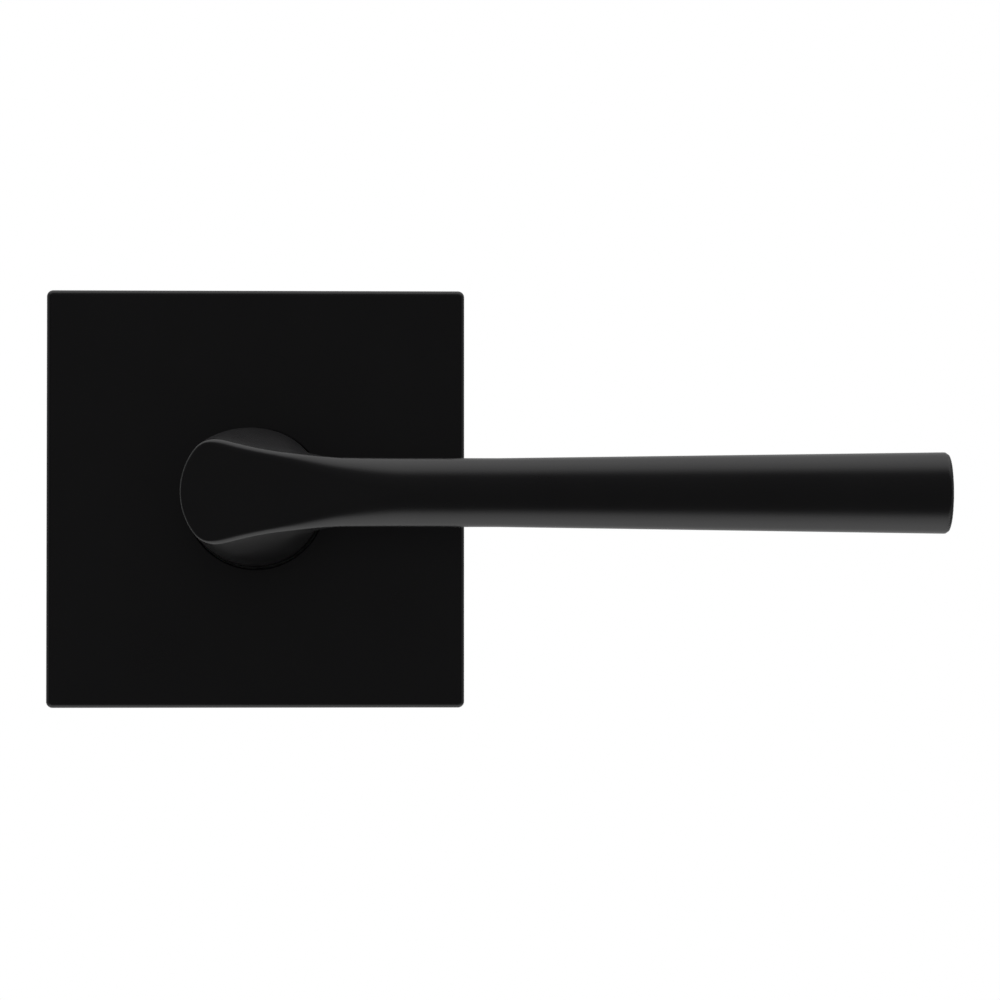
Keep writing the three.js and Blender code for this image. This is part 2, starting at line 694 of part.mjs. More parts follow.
// Everything that stays with the door
const still = new THREE.Group();
assembly.add(still);
place(still, "rose_cover", roseCover(), SATIN_BLACK);
place(still, "mounting_plate", mountingPlate(), ZINC);
const neckBush = ring(neckBushIn, neckBushOut, roseInside + STILL_GAP, plateFace - STILL_GAP);
place(still, "neck_bush", neckBush, NYLON);
place(still, "bearing_bush", bearingBush(), BRONZE);
place(still, "spring_cup", springCup(), PLATED_STEEL);
place(still, "return_spring", returnSpring(), SPRING_STEEL);
const stopPin = rod(STOP_PIN_R, driverFront - 0.6, cupBack + END_GAP / 2, SMALL_ROUND);
place(still, "stop_pin", stopPin, PLATED_STEEL, [0, 0, legR]);
earPlaces().forEach(([x, z], i) => {
  const screw = machineScrew(CUP_SCREW_R, CUP_SCREW_HEAD_R, CUP_SCREW_HEAD, CUP_WALL + 2.2);
  const seat = STILL_GAP + CUP_WALL + END_GAP;
  place(still, `cup_screw_${i + 1}`, screw, PLATED_STEEL, [x, seat, z], [Math.PI, 0, 0]);
});
for (const [side, name] of [[-1, "left"], [1, "right"]]) {
  const washerFront = -WEB_UNDER_HEAD - END_GAP / 2 - WASHER_THICK;
  const seat = washerFront - END_GAP / 2;
  const screw = machineScrew(SCREW_R, SCREW_HEAD_R, SCREW_HEAD, SCREW_REACH - seat);
  place(still, `lock_washer_${name}`, lockWasher(), SPRING_STEEL, [side * screwX, washerFront, 0]);
  place(still, `through_screw_${name}`, screw, PLATED_STEEL, [side * screwX, seat, 0]);
}
for (const [turn, name] of [[0, "top"], [Math.PI, "bottom"]]) {
  place(still, `rose_clip_${name}`, roseClip(), SPRING_STEEL, [0, 0, 0], [0, turn, 0]);
  place(still, `clip_rivet_${name}`, clipRivet(), PLATED_STEEL, [0, 0, rivetZ * Math.cos(turn)]);
}

// Everything that turns with the lever
const turning = new THREE.Group();
assembly.add(turning);
place(turning, "lever", lever(), SATIN_BLACK);
const setScrewZ = -NECK_BASE_R + SET_SCREW_RECESS;
place(turning, "set_screw", setScrew(), BLACK_OXIDE, [0, -SET_SCREW_AT, setScrewZ], [Math.PI / 2, 0, 0]);
place(turning, "drive_tube", driveTube(), PLATED_STEEL);
place(turning, "thrust_washer", ring(bushIn, flangeR, thrustFront, plateFace - END_GAP, 48), NYLON);
place(turning, "spring_driver", springDriver(), PLATED_STEEL);
const waveMiddle = waveFront + (WAVE_HEIGHT - WAVE_THICK) / 2;
const waveOut = TUBE_R + RING_WIDTH + 0.4;
place(turning, "wave_washer", ring(bushIn, waveOut, waveMiddle, waveMiddle + WAVE_THICK, 48), SPRING_STEEL);
place(turning, "retaining_ring", retainingRing(), SPRING_STEEL);
place(turning, "spindle", spindle(), PLATED_STEEL);

export default assembly;
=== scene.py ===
"""Door lever handle on a square rose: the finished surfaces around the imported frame.

Everything is in metres in the frame of the part: +X along the lever, +Y into the door, +Z up, and the
origin on the spindle's axis at the face of the door. Sizes inside the classes are in millimetres,
because that is how a hardware maker's drawing gives them.
"""
import logging
import math
from collections.abc import Callable, Sequence
from dataclasses import dataclass, field
from enum import Enum

import bmesh
import bpy
import numpy as np
from mathutils import Matrix, Vector


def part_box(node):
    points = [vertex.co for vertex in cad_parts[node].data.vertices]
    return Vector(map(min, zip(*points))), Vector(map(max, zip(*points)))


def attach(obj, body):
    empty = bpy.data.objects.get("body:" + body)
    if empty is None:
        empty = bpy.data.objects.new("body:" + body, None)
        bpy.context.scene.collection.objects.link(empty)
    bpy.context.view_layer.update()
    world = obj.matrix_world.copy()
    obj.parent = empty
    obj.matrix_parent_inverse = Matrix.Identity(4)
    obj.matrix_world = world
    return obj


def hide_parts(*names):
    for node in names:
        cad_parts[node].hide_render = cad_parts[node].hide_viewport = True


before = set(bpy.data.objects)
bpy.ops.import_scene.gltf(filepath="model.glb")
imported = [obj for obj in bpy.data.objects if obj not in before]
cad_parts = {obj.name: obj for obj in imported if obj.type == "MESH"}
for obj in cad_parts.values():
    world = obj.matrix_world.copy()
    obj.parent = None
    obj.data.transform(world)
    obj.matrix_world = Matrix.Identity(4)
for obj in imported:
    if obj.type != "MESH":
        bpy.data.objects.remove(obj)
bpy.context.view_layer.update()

MM = 0.001
TURN = 2 * math.pi
HAIR = 1e-6
# How many facets go round a large, a middling and a small round form.
LARGE_ROUND, MIDDLE_ROUND, SMALL_ROUND = 128, 64, 32
DOOR_SIDE = "door_side"
LEVER_SIDE = "lever_side"

log = logging.getLogger("lever_handle")


# ------------------------------------------------------------------ sizes read from the frame


@dataclass(frozen=True)
class Span:
    """The box of a frame node, in millimetres."""

    low: Vector
    high: Vector

    @staticmethod
    def of(node: str) -> "Span":
        """The box of one node.

        Args:
            node: the node's name in the frame.

        Returns:
            Its lowest and highest corners.
        """
        low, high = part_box(node)
        return Span(Vector(low) / MM, Vector(high) / MM)

    @property
    def centre(self) -> Vector:
        """The middle of the box."""
        return (self.low + self.high) / 2

    @property
    def radius(self) -> float:
        """Half of the box's width: the radius of a piece that is round about the spindle."""
        return (self.high.x - self.low.x) / 2


# ------------------------------------------------------------------ finishes


def linear(hex_colour: str) -> tuple[float, float, float, float]:
    """An sRGB hex colour as linear RGBA.

    Args:
        hex_colour: six hex digits after a hash.

    Returns:
        Red, green, blue and an alpha of one.
    """
    def channel(start: int) -> float:
        """One channel, from its two digits."""
        value = int(hex_colour[start:start + 2], 16) / 255
        return value / 12.92 if value <= 0.04045 else ((value + 0.055) / 1.055) ** 2.4

    return channel(1), channel(3), channel(5), 1.0


def add_node(
    tree: bpy.types.NodeTree,
    kind: str,
    settings: dict[str, object] | None = None,
    **inputs: object,
) -> bpy.types.Node:
    """Adds a node with its settings and links.

    Args:
        tree: the material's node tree.
        kind: the node's type name.
        settings: attributes to set on the node.
        **inputs: socket names, with spaces as underscores, to a value or to a socket to link from.

    Returns:
        The new node.
    """
    node = tree.nodes.new(kind)
    for name, value in (settings or {}).items():
        setattr(node, name, value)
    for name, value in inputs.items():
        key: str | int = int(name[1:]) if name[0] == "_" else name.replace("_", " ")
        socket = node.inputs[key]
        if isinstance(value, bpy.types.NodeSocket):
            tree.links.new(value, socket)
        else:
            socket.default_value = value
    return node


def per_metre(size_mm: float) -> float:
    """The texture scale at which one cell is this many millimetres across."""
    return 1 / (size_mm * MM)


# How many grains wide a cloudy patch is, how coarse the lathe's rings are beside the grain, and how far
# the rings and the drawing die's lines are stretched along the spindle's axis.
CLOUD_GRAINS = 22
RING_COARSENESS = 6
LATHE_STRETCH = 0.25
DRAW_STRETCH = 0.03


class Texture(Enum):
    """How a finish's surface was made."""

    SPRAYED = "sprayed"
    CAST = "cast"
    TURNED = "turned"
    DRAWN = "drawn"
    MOULDED = "moulded"
    SINTERED = "sintered"


@dataclass(frozen=True)
class Finish:
    """One material: what it is made of, how its surface was made, and what that gives the eye."""

    name: str
    slot: str
    texture: Texture
    light: str
    dark: str
    metallic: float
    roughness: float
    roughness_swing: float
    grain_mm: float
    bump_mm: float
    ior: float = 1.5
    subsurface: float = 0.0

    def pattern(self, tree: bpy.types.NodeTree) -> tuple[bpy.types.NodeSocket, bpy.types.NodeSocket]:
        """Builds the surface's relief and its blotches.

        Args:
            tree: the material's node tree.

        Returns:
            A height from 0 to 1 at the size of the grain, and a slow variation from 0 to 1.
        """
        place = add_node(tree, "ShaderNodeTexCoord").outputs["Object"]
        slow = add_node(
            tree, "ShaderNodeTexNoise", Vector=place, Scale=per_metre(self.grain_mm * CLOUD_GRAINS),
            Detail=3.0, Roughness=0.55,
        ).outputs["Fac"]
        scale = per_metre(self.grain_mm)
        if self.texture is Texture.TURNED:
            # Rings round the spindle's axis, left by the lathe tool.
            flat = add_node(tree, "ShaderNodeMapping", Vector=place, Scale=(1.0, LATHE_STRETCH, 1.0))
            height = add_node(
                tree, "ShaderNodeTexWave",
                {"wave_type": "RINGS", "rings_direction": "SPHERICAL"},
                Vector=flat.outputs["Vector"], Scale=scale / RING_COARSENESS, Distortion=0.4, Detail=1.0,
            ).outputs["Fac"]
        elif self.texture is Texture.DRAWN:
            # Long die lines along the spindle's axis.
            drawn = add_node(tree, "ShaderNodeMapping", Vector=place, Scale=(1.0, DRAW_STRETCH, 1.0))
            height = add_node(
                tree, "ShaderNodeTexNoise", Vector=drawn.outputs["Vector"], Scale=scale,
                Detail=4.0, Roughness=0.6,
            ).outputs["Fac"]
        elif self.texture is Texture.SINTERED:
            cells = add_node(
                tree, "ShaderNodeTexVoronoi", {"feature": "F1"}, Vector=place, Scale=scale,
            ).outputs["Distance"]
            height = add_node(
                tree, "ShaderNodeMapRange", Value=cells, From_Min=0.0, From_Max=0.5,
            ).outputs["Result"]
        else:
            height = add_node(
                tree, "ShaderNodeTexNoise", Vector=place, Scale=scale, Detail=2.0, Roughness=0.5,
            ).outputs["Fac"]
        return height, slow

    def material(self) -> bpy.types.Material:
        """Builds the material, once.

        Returns:
            The material of this finish.
        """
        if self.name in bpy.data.materials:
            return bpy.data.materials[self.name]
        made = bpy.data.materials.new(self.name)
        made.use_nodes = True
        tree = made.node_tree
        shader = tree.nodes["Principled BSDF"]
        height, slow = self.pattern(tree)
        spread = add_node(
            tree, "ShaderNodeMapRange", Value=slow, From_Min=0.25, From_Max=0.75,
        ).outputs["Result"]
        colour = add_node(
            tree, "ShaderNodeMix", {"data_type": "RGBA"}, Factor=spread,
            _6=linear(self.dark), _7=linear(self.light),
        )
        tree.links.new(colour.outputs[2], shader.inputs["Base Color"])
        rough = add_node(
            tree, "ShaderNodeMapRange", Value=slow, From_Min=0.3, From_Max=0.7,
            To_Min=self.roughness - self.roughness_swing, To_Max=self.roughness + self.roughness_swing,
        )
        tree.links.new(rough.outputs["Result"], shader.inputs["Roughness"])
        bump = add_node(
            tree, "ShaderNodeBump", Strength=1.0, Distance=self.bump_mm * MM, Height=height,
        )
        tree.links.new(bump.outputs["Normal"], shader.inputs["Normal"])
        shader.inputs["Metallic"].default_value = self.metallic
        if self.metallic < 1.0:
            shader.inputs["IOR"].default_value = self.ior
        if self.subsurface:
            shader.inputs["Subsurface Weight"].default_value = self.subsurface
            shader.inputs["Subsurface Scale"].default_value = MM
        return made


# Zinc alloy with a sprayed and baked satin black enamel: nearly black straight on, a soft grey sheen
# at grazing angles, and a faint orange peel that keeps the reflections from being mirror-sharp.
SATIN_BLACK_ENAMEL = Finish(
    "satin_black_baked_enamel_on_zinc", "satin_black_coating", Texture.SPRAYED,
    light="#232224", dark="#1f1e20", metallic=0.0, roughness=0.25, roughness_swing=0.02,
    grain_mm=0.55, bump_mm=0.0022, ior=1.5,
)
# Bare zinc alloy as it leaves the die: mid grey, soft, with cloudy flow marks and a fine pebble.
RAW_CAST_ZINC = Finish(
    "bare_die_cast_zinc", "die_cast_zinc", Texture.CAST,
    light="#acadae", dark="#8b8c8e", metallic=1.0, roughness=0.46, roughness_swing=0.08,
    grain_mm=0.5, bump_mm=0.012,
)
# Turned steel, zinc plated and clear passivated: cool bright grey, with the tool's fine rings.
PLATED_TURNED_STEEL = Finish(
    "zinc_plated_turned_steel", "zinc_plated_steel", Texture.TURNED,
    light="#cdced1", dark="#b3b5ba", metallic=1.0, roughness=0.3, roughness_swing=0.06,
    grain_mm=0.35, bump_mm=0.004,
)
# Cold-drawn steel bar, zinc plated: bright, with long faint die lines.
PLATED_DRAWN_STEEL = Finish(
    "zinc_plated_cold_drawn_steel", "zinc_plated_steel", Texture.DRAWN,
    light="#c9cacd", dark="#acaeb3", metallic=1.0, roughness=0.33, roughness_swing=0.06,
    grain_mm=0.3, bump_mm=0.006,
)
# Deep-drawn steel sheet, zinc plated: a softer, slightly cloudy shine.
PLATED_PRESSED_STEEL = Finish(
    "zinc_plated_pressed_steel", "zinc_plated_steel", Texture.CAST,
    light="#c4c6c9", dark="#a8abb0", metallic=1.0, roughness=0.36, roughness_swing=0.07,
    grain_mm=0.4, bump_mm=0.005,
)
# Tempered spring steel, oiled: dark grey with a low shine.
TEMPERED_SPRING_STEEL = Finish(
    "oil_tempered_spring_steel", "spring_steel", Texture.MOULDED,
    light="#7b7e84", dark="#5e6167", metallic=1.0, roughness=0.34, roughness_swing=0.06,
    grain_mm=0.3, bump_mm=0.004,
)
# Sintered bronze, oil-soaked: dull gold-brown, open-pored.
SINTERED_BRONZE = Finish(
    "oil_soaked_sintered_bronze", "sintered_bronze", Texture.SINTERED,
    light="#b08a52", dark="#8e6a3a", metallic=1.0, roughness=0.5, roughness_swing=0.08,
    grain_mm=0.25, bump_mm=0.02,
)
# Black-oxided steel: a thin blue-black skin that still shines as metal.
BLACK_OXIDE_STEEL = Finish(
    "black_oxided_steel", "black_oxide_steel", Texture.TURNED,
    light="#2b2b2f", dark="#1d1d20", metallic=0.8, roughness=0.38, roughness_swing=0.05,
    grain_mm=0.3, bump_mm=0.004,
)
# Natural nylon, injection moulded: milky, slightly translucent, with a soft sheen.
NATURAL_NYLON = Finish(
    "injection_moulded_natural_nylon", "natural_nylon", Texture.MOULDED,
    light="#ebe8df", dark="#dfdbcf", metallic=0.0, roughness=0.42, roughness_swing=0.05,
    grain_mm=0.4, bump_mm=0.006, ior=1.53, subsurface=0.3,
)


# ------------------------------------------------------------------ mesh tools

Outline = Sequence[tuple[float, float]]


def in_scene(name: str, data: bpy.types.ID) -> bpy.types.Object:
    """A new object of a mesh, a curve or a camera, linked to the scene."""
    made = bpy.data.objects.new(name, data)
    bpy.context.scene.collection.objects.link(made)
    return made


def as_object(mesh: bmesh.types.BMesh, name: str = "passing") -> bpy.types.Object:
    """An object of a mesh, which is freed."""
    data = bpy.data.meshes.new(name)
    mesh.to_mesh(data)
    mesh.free()
    return in_scene(name, data)


def discard(target: bpy.types.Object) -> None:
    """Removes a passing object and its mesh."""
    data = target.data
    bpy.data.objects.remove(target)
    bpy.data.meshes.remove(data)


def piece(name: str, mesh: bmesh.types.BMesh, finish: Finish, body: str, *nodes: str) -> bpy.types.Object:
    """Makes a scene object of a mesh built in millimetres, and dresses and attaches it.

    Args:
        name: the piece's name.
        mesh: the built mesh, which is freed.
        finish: what the piece is finished in.
        body: the frame body that the piece moves with.
        *nodes: the frame nodes that the piece stands for.

    Returns:
        The new object.
    """
    bmesh.ops.transform(mesh, matrix=Matrix.Scale(MM, 4), verts=mesh.verts)
    made = as_object(mesh, name)
    dress(made, finish)
    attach(made, body)
    if nodes:
        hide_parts(*nodes)
    log.info("%s: %d faces", name, len(made.data.polygons))
    return made


def dress(target: bpy.types.Object, finish: Finish) -> None:
    """Gives an object its finish.

    Args:
        target: the object.
        finish: its finish.
    """
    target.data.materials.clear()
    target.data.materials.append(finish.material())


def shade(target: bpy.types.Object, angle_deg: float = 32.0) -> None:
    """Shades smooth, with edges over an angle kept sharp.

    Args:
        target: the object.
        angle_deg: edges that turn by more than this stay sharp.
    """
    target.data.shade_smooth()
    target.data.set_sharp_from_angle(angle=math.radians(angle_deg))
    weights = target.modifiers.new("flat_faces_stay_flat", "WEIGHTED_NORMAL")
    weights.keep_sharp = True
    weights.weight = 100


def rounded(corners: Outline, radii: Sequence[float], steps: int = 4) -> list[tuple[float, float]]:
    """An open or closed outline with round corners.

    Args:
        corners: the corners in order.
        radii: a radius for each corner, 0 to leave it sharp.
        steps: how many segments each round has.

    Returns:
        The outline's points.
    """
    points: list[tuple[float, float]] = []
    count = len(corners)
    for i, radius in enumerate(radii):
        here = Vector(corners[i])
        if radius <= 0:
            points.append(tuple(here))
            continue
        back = Vector(corners[i - 1]) - here
        ahead = Vector(corners[(i + 1) % count]) - here
        half = back.angle(ahead) / 2
        reach = min(radius / math.tan(half), back.length * 0.49, ahead.length * 0.49)
        start = here + back.normalized() * reach
        end = here + ahead.normalized() * reach
        centre = here + (back.normalized() + ahead.normalized()).normalized() * (
            reach / math.cos(half)
        )
        size = (start - centre).length
        for k in range(steps + 1):
            ray = (start - centre).lerp(end - centre, k / steps)
            points.append(tuple(centre + ray.normalized() * size))
    return points


def of_kind(found: dict[str, object], key: str, kind: type) -> list:
    """The vertices, edges or faces among what an operator gave back."""
    return [item for item in found[key] if isinstance(item, kind)]


def spun(profile: Outline, steps: int = 96) -> bmesh.types.BMesh:
    """A solid of revolution about the spindle's axis.

    Args:
        profile: (radius, y) points round a closed outline.
        steps: how many facets go round.

    Returns:
        The closed mesh.
    """
    mesh = bmesh.new()
    verts = [mesh.verts.new((radius, y, 0)) for radius, y in profile]
    edges = [mesh.edges.new((verts[i - 1], verts[i])) for i in range(len(verts))]
    bmesh.ops.spin(
        mesh, geom=[*verts, *edges], cent=(0, 0, 0), axis=(0, 1, 0), dvec=(0, 0, 0),
        angle=TURN, steps=steps, use_merge=True, use_normal_flip=False, use_duplicate=False,
    )
    close(mesh)
    return mesh


def close(mesh: bmesh.types.BMesh, distance: float = 1e-4) -> None:
    """Welds a mesh's doubles, drops its empty faces and points its faces outwards.

    Args:
        mesh: the mesh, in millimetres.
        distance: how near two vertices are welded.
    """
    bmesh.ops.remove_doubles(mesh, verts=mesh.verts, dist=distance)
    bmesh.ops.dissolve_degenerate(mesh, dist=distance, edges=mesh.edges)
    bmesh.ops.recalc_face_normals(mesh, faces=mesh.faces)


def pushed(outline: Outline, front: float, back: float) -> bmesh.types.BMesh:
    """An outline in X and Z pushed through from one depth to another.

    Args:
        outline: (x, z) points round the shape.
        front: y of the front face.
        back: y of the back face.

    Returns:
        The closed mesh.
    """
    mesh = bmesh.new()
    face = mesh.faces.new([mesh.verts.new((x, front, z)) for x, z in outline])
    grown = bmesh.ops.extrude_face_region(mesh, geom=[face], use_keep_orig=True)
    far = of_kind(grown, "geom", bmesh.types.BMVert)
    bmesh.ops.translate(mesh, vec=(0, back - front, 0), verts=far)
    bmesh.ops.recalc_face_normals(mesh, faces=mesh.faces)
    return mesh


def ring(
    inner: float, outer: float, front: float, back: float, radii: Sequence[float],
    steps: int = LARGE_ROUND,
) -> bmesh.types.BMesh:
    """A plain ring about the spindle's axis, with round edges.

    Args:
        inner: its inner radius.
        outer: its outer radius.
        front: y of its front face.
        back: y of its back face.
        radii: the rounds of its inner and outer front edges, then of its outer and inner back edges.
        steps: how many facets go round.

    Returns:
        The closed mesh.
    """
    corners = [(inner, front), (outer, front), (outer, back), (inner, back)]
    return spun(rounded(corners, radii), steps)


def rod(radius: float, front: float, back: float, steps: int = 48) -> bmesh.types.BMesh:
    """A plain rod along Y, mostly used to cut holes.

    Args:
        radius: its radius.
        front: y of its front end.
        back: y of its back end.
        steps: how many facets go round.

    Returns:
        The closed mesh.
    """
    mesh = bmesh.new()
    bmesh.ops.create_cone(
        mesh, cap_ends=True, segments=steps, radius1=radius, radius2=radius, depth=back - front,
    )
    turn = Matrix.Translation((0, (front + back) / 2, 0)) @ Matrix.Rotation(math.pi / 2, 4, "X")
    bmesh.ops.transform(mesh, matrix=turn, verts=mesh.verts)
    return mesh


def block(low: Sequence[float], high: Sequence[float]) -> bmesh.types.BMesh:
    """A block between two corners, mostly used to cut.

    Args:
        low: its lowest corner.
        high: its highest corner.

    Returns:
        The closed mesh.
    """
    mesh = bmesh.new()
    bmesh.ops.create_cube(mesh, size=1)
    low_v, high_v = Vector(low), Vector(high)
    size = high_v - low_v
    place = Matrix.Translation((low_v + high_v) / 2) @ Matrix.Diagonal((*size, 1))
    bmesh.ops.transform(mesh, matrix=place, verts=mesh.verts)
    return mesh


def moved(mesh: bmesh.types.BMesh, place: Matrix) -> bmesh.types.BMesh:
    """Moves a mesh and returns it.

    Args:
        mesh: the mesh.
        place: where it goes.

    Returns:
        The same mesh.
    """
    bmesh.ops.transform(mesh, matrix=place, verts=mesh.verts)
    return mesh


def finished(target: bpy.types.Object) -> bmesh.types.BMesh:
    """The mesh of a passing object with its modifiers applied, after which the object is removed."""
    graph = bpy.context.evaluated_depsgraph_get()
    mesh = bmesh.new()
    mesh.from_object(target, graph)
    discard(target)
    return mesh


def combine(
    base: bmesh.types.BMesh, operation: str, *tools: bmesh.types.BMesh, tidy: bool = True,
) -> bmesh.types.BMesh:
    """Joins tools to a solid or cuts them from it.

    Args:
        base: the solid to work on.
        operation: UNION, DIFFERENCE or INTERSECT.
        *tools: the solids to work with, in turn.
        tidy: whether faces in one plane are merged afterwards.

    Returns:
        The new solid.
    """
    target = as_object(base)
    helpers = [as_object(tool) for tool in tools]
    for helper in helpers:
        step = target.modifiers.new("work", "BOOLEAN")
        step.operation = operation
        step.solver = "EXACT"
        step.object = helper
    mesh = finished(target)
    for helper in helpers:
        discard(helper)
    close(mesh)
    if tidy:
        bmesh.ops.dissolve_limit(
            mesh, angle_limit=math.radians(0.5), use_dissolve_boundaries=False,
            verts=mesh.verts, edges=mesh.edges,
        )
    return mesh


def round_edges(
    mesh: bmesh.types.BMesh, edges: list[bmesh.types.BMEdge], width: float, segments: int,
) -> None:
    """Bevels some of a mesh's edges round."""
    bmesh.ops.bevel(
        mesh, geom=edges, offset=width, offset_type="OFFSET", affect="EDGES", segments=segments,
        profile=0.5, material=-1, clamp_overlap=True,
    )


def soften(
    mesh: bmesh.types.BMesh,
    width: float,
    segments: int = 3,
    angle_deg: float = 40.0,
    where: Callable[[Vector], bool] | None = None,
) -> None:
    """Rounds a mesh's sharp edges.

    Args:
        mesh: the mesh, in millimetres.
        width: the round's size.
        segments: how many segments it has.
        angle_deg: edges that turn by more than this are rounded.
        where: says which edges, by their middle point.
    """
    edges = []
    for edge in mesh.edges:
        if len(edge.link_faces) != 2 or edge.calc_face_angle(0) < math.radians(angle_deg):
            continue
        middle = (edge.verts[0].co + edge.verts[1].co) / 2
        if where is None or where(middle):
            edges.append(edge)
    round_edges(mesh, edges, width, segments)
    close(mesh)


def square_outline(half: float, corner: float, steps: int = 8) -> list[tuple[float, float]]:
    """A square with round corners.

    Args:
        half: half its side.
        corner: its corners' radius.
        steps: how many segments each corner has.

    Returns:
        Its (x, z) points.
    """
    corners = [(half, -half), (half, half), (-half, half), (-half, -half)]
    return rounded(corners, [corner] * 4, steps)


def on_circle(radius: float, angle_deg: float) -> Vector:
    """A point at an angle from +X towards +Z, in the plane of the door."""
    angle = math.radians(angle_deg)
    return Vector((radius * math.cos(angle), 0, radius * math.sin(angle)))


def sector_outline(inner: float, outer: float, start: float, end: float) -> list[tuple[float, float]]:
    """A piece of a ring between two angles in degrees.

    Args:
        inner: its inner radius.
        outer: its outer radius.
        start: the angle it starts at.
        end: the angle it ends at.

    Returns:
        Its (x, z) points.
    """
    steps = max(4, int(abs(end - start) / 4))
    angles = [start + (end - start) * i / steps for i in range(steps + 1)]
    out = [on_circle(outer, angle) for angle in angles]
    back = [on_circle(inner, angle) for angle in reversed(angles)]
    return [(point.x, point.z) for point in [*out, *back]]


# ------------------------------------------------------------------ the lever's surface


def smooth_step(value: np.ndarray, start: float, end: float) -> np.ndarray:
    """Rises from 0 at start to 1 at end without a corner."""
    t = np.clip((value - start) / (end - start), 0, 1)
    return t * t * (3 - 2 * t)


def soft_min(a: np.ndarray, b: np.ndarray, reach: float) -> np.ndarray:
    """The lower of two distances, filleted over a reach."""
    h = np.maximum(reach - np.abs(a - b), 0) / reach
    return np.minimum(a, b) - h * h * reach / 4


def soft_max(a: np.ndarray, b: np.ndarray, reach: float) -> np.ndarray:
    """The higher of two distances, rounded over a reach."""
    return -soft_min(-a, -b, reach)


def round_corner(a: np.ndarray, b: np.ndarray, radius: np.ndarray | float) -> np.ndarray:
    """What lies inside both distances, with a true round of a radius where they meet."""
    u = a + radius
    v = b + radius
    outside = np.hypot(np.maximum(u, 0), np.maximum(v, 0))
    return np.minimum(np.maximum(u, v), 0) + outside - radius


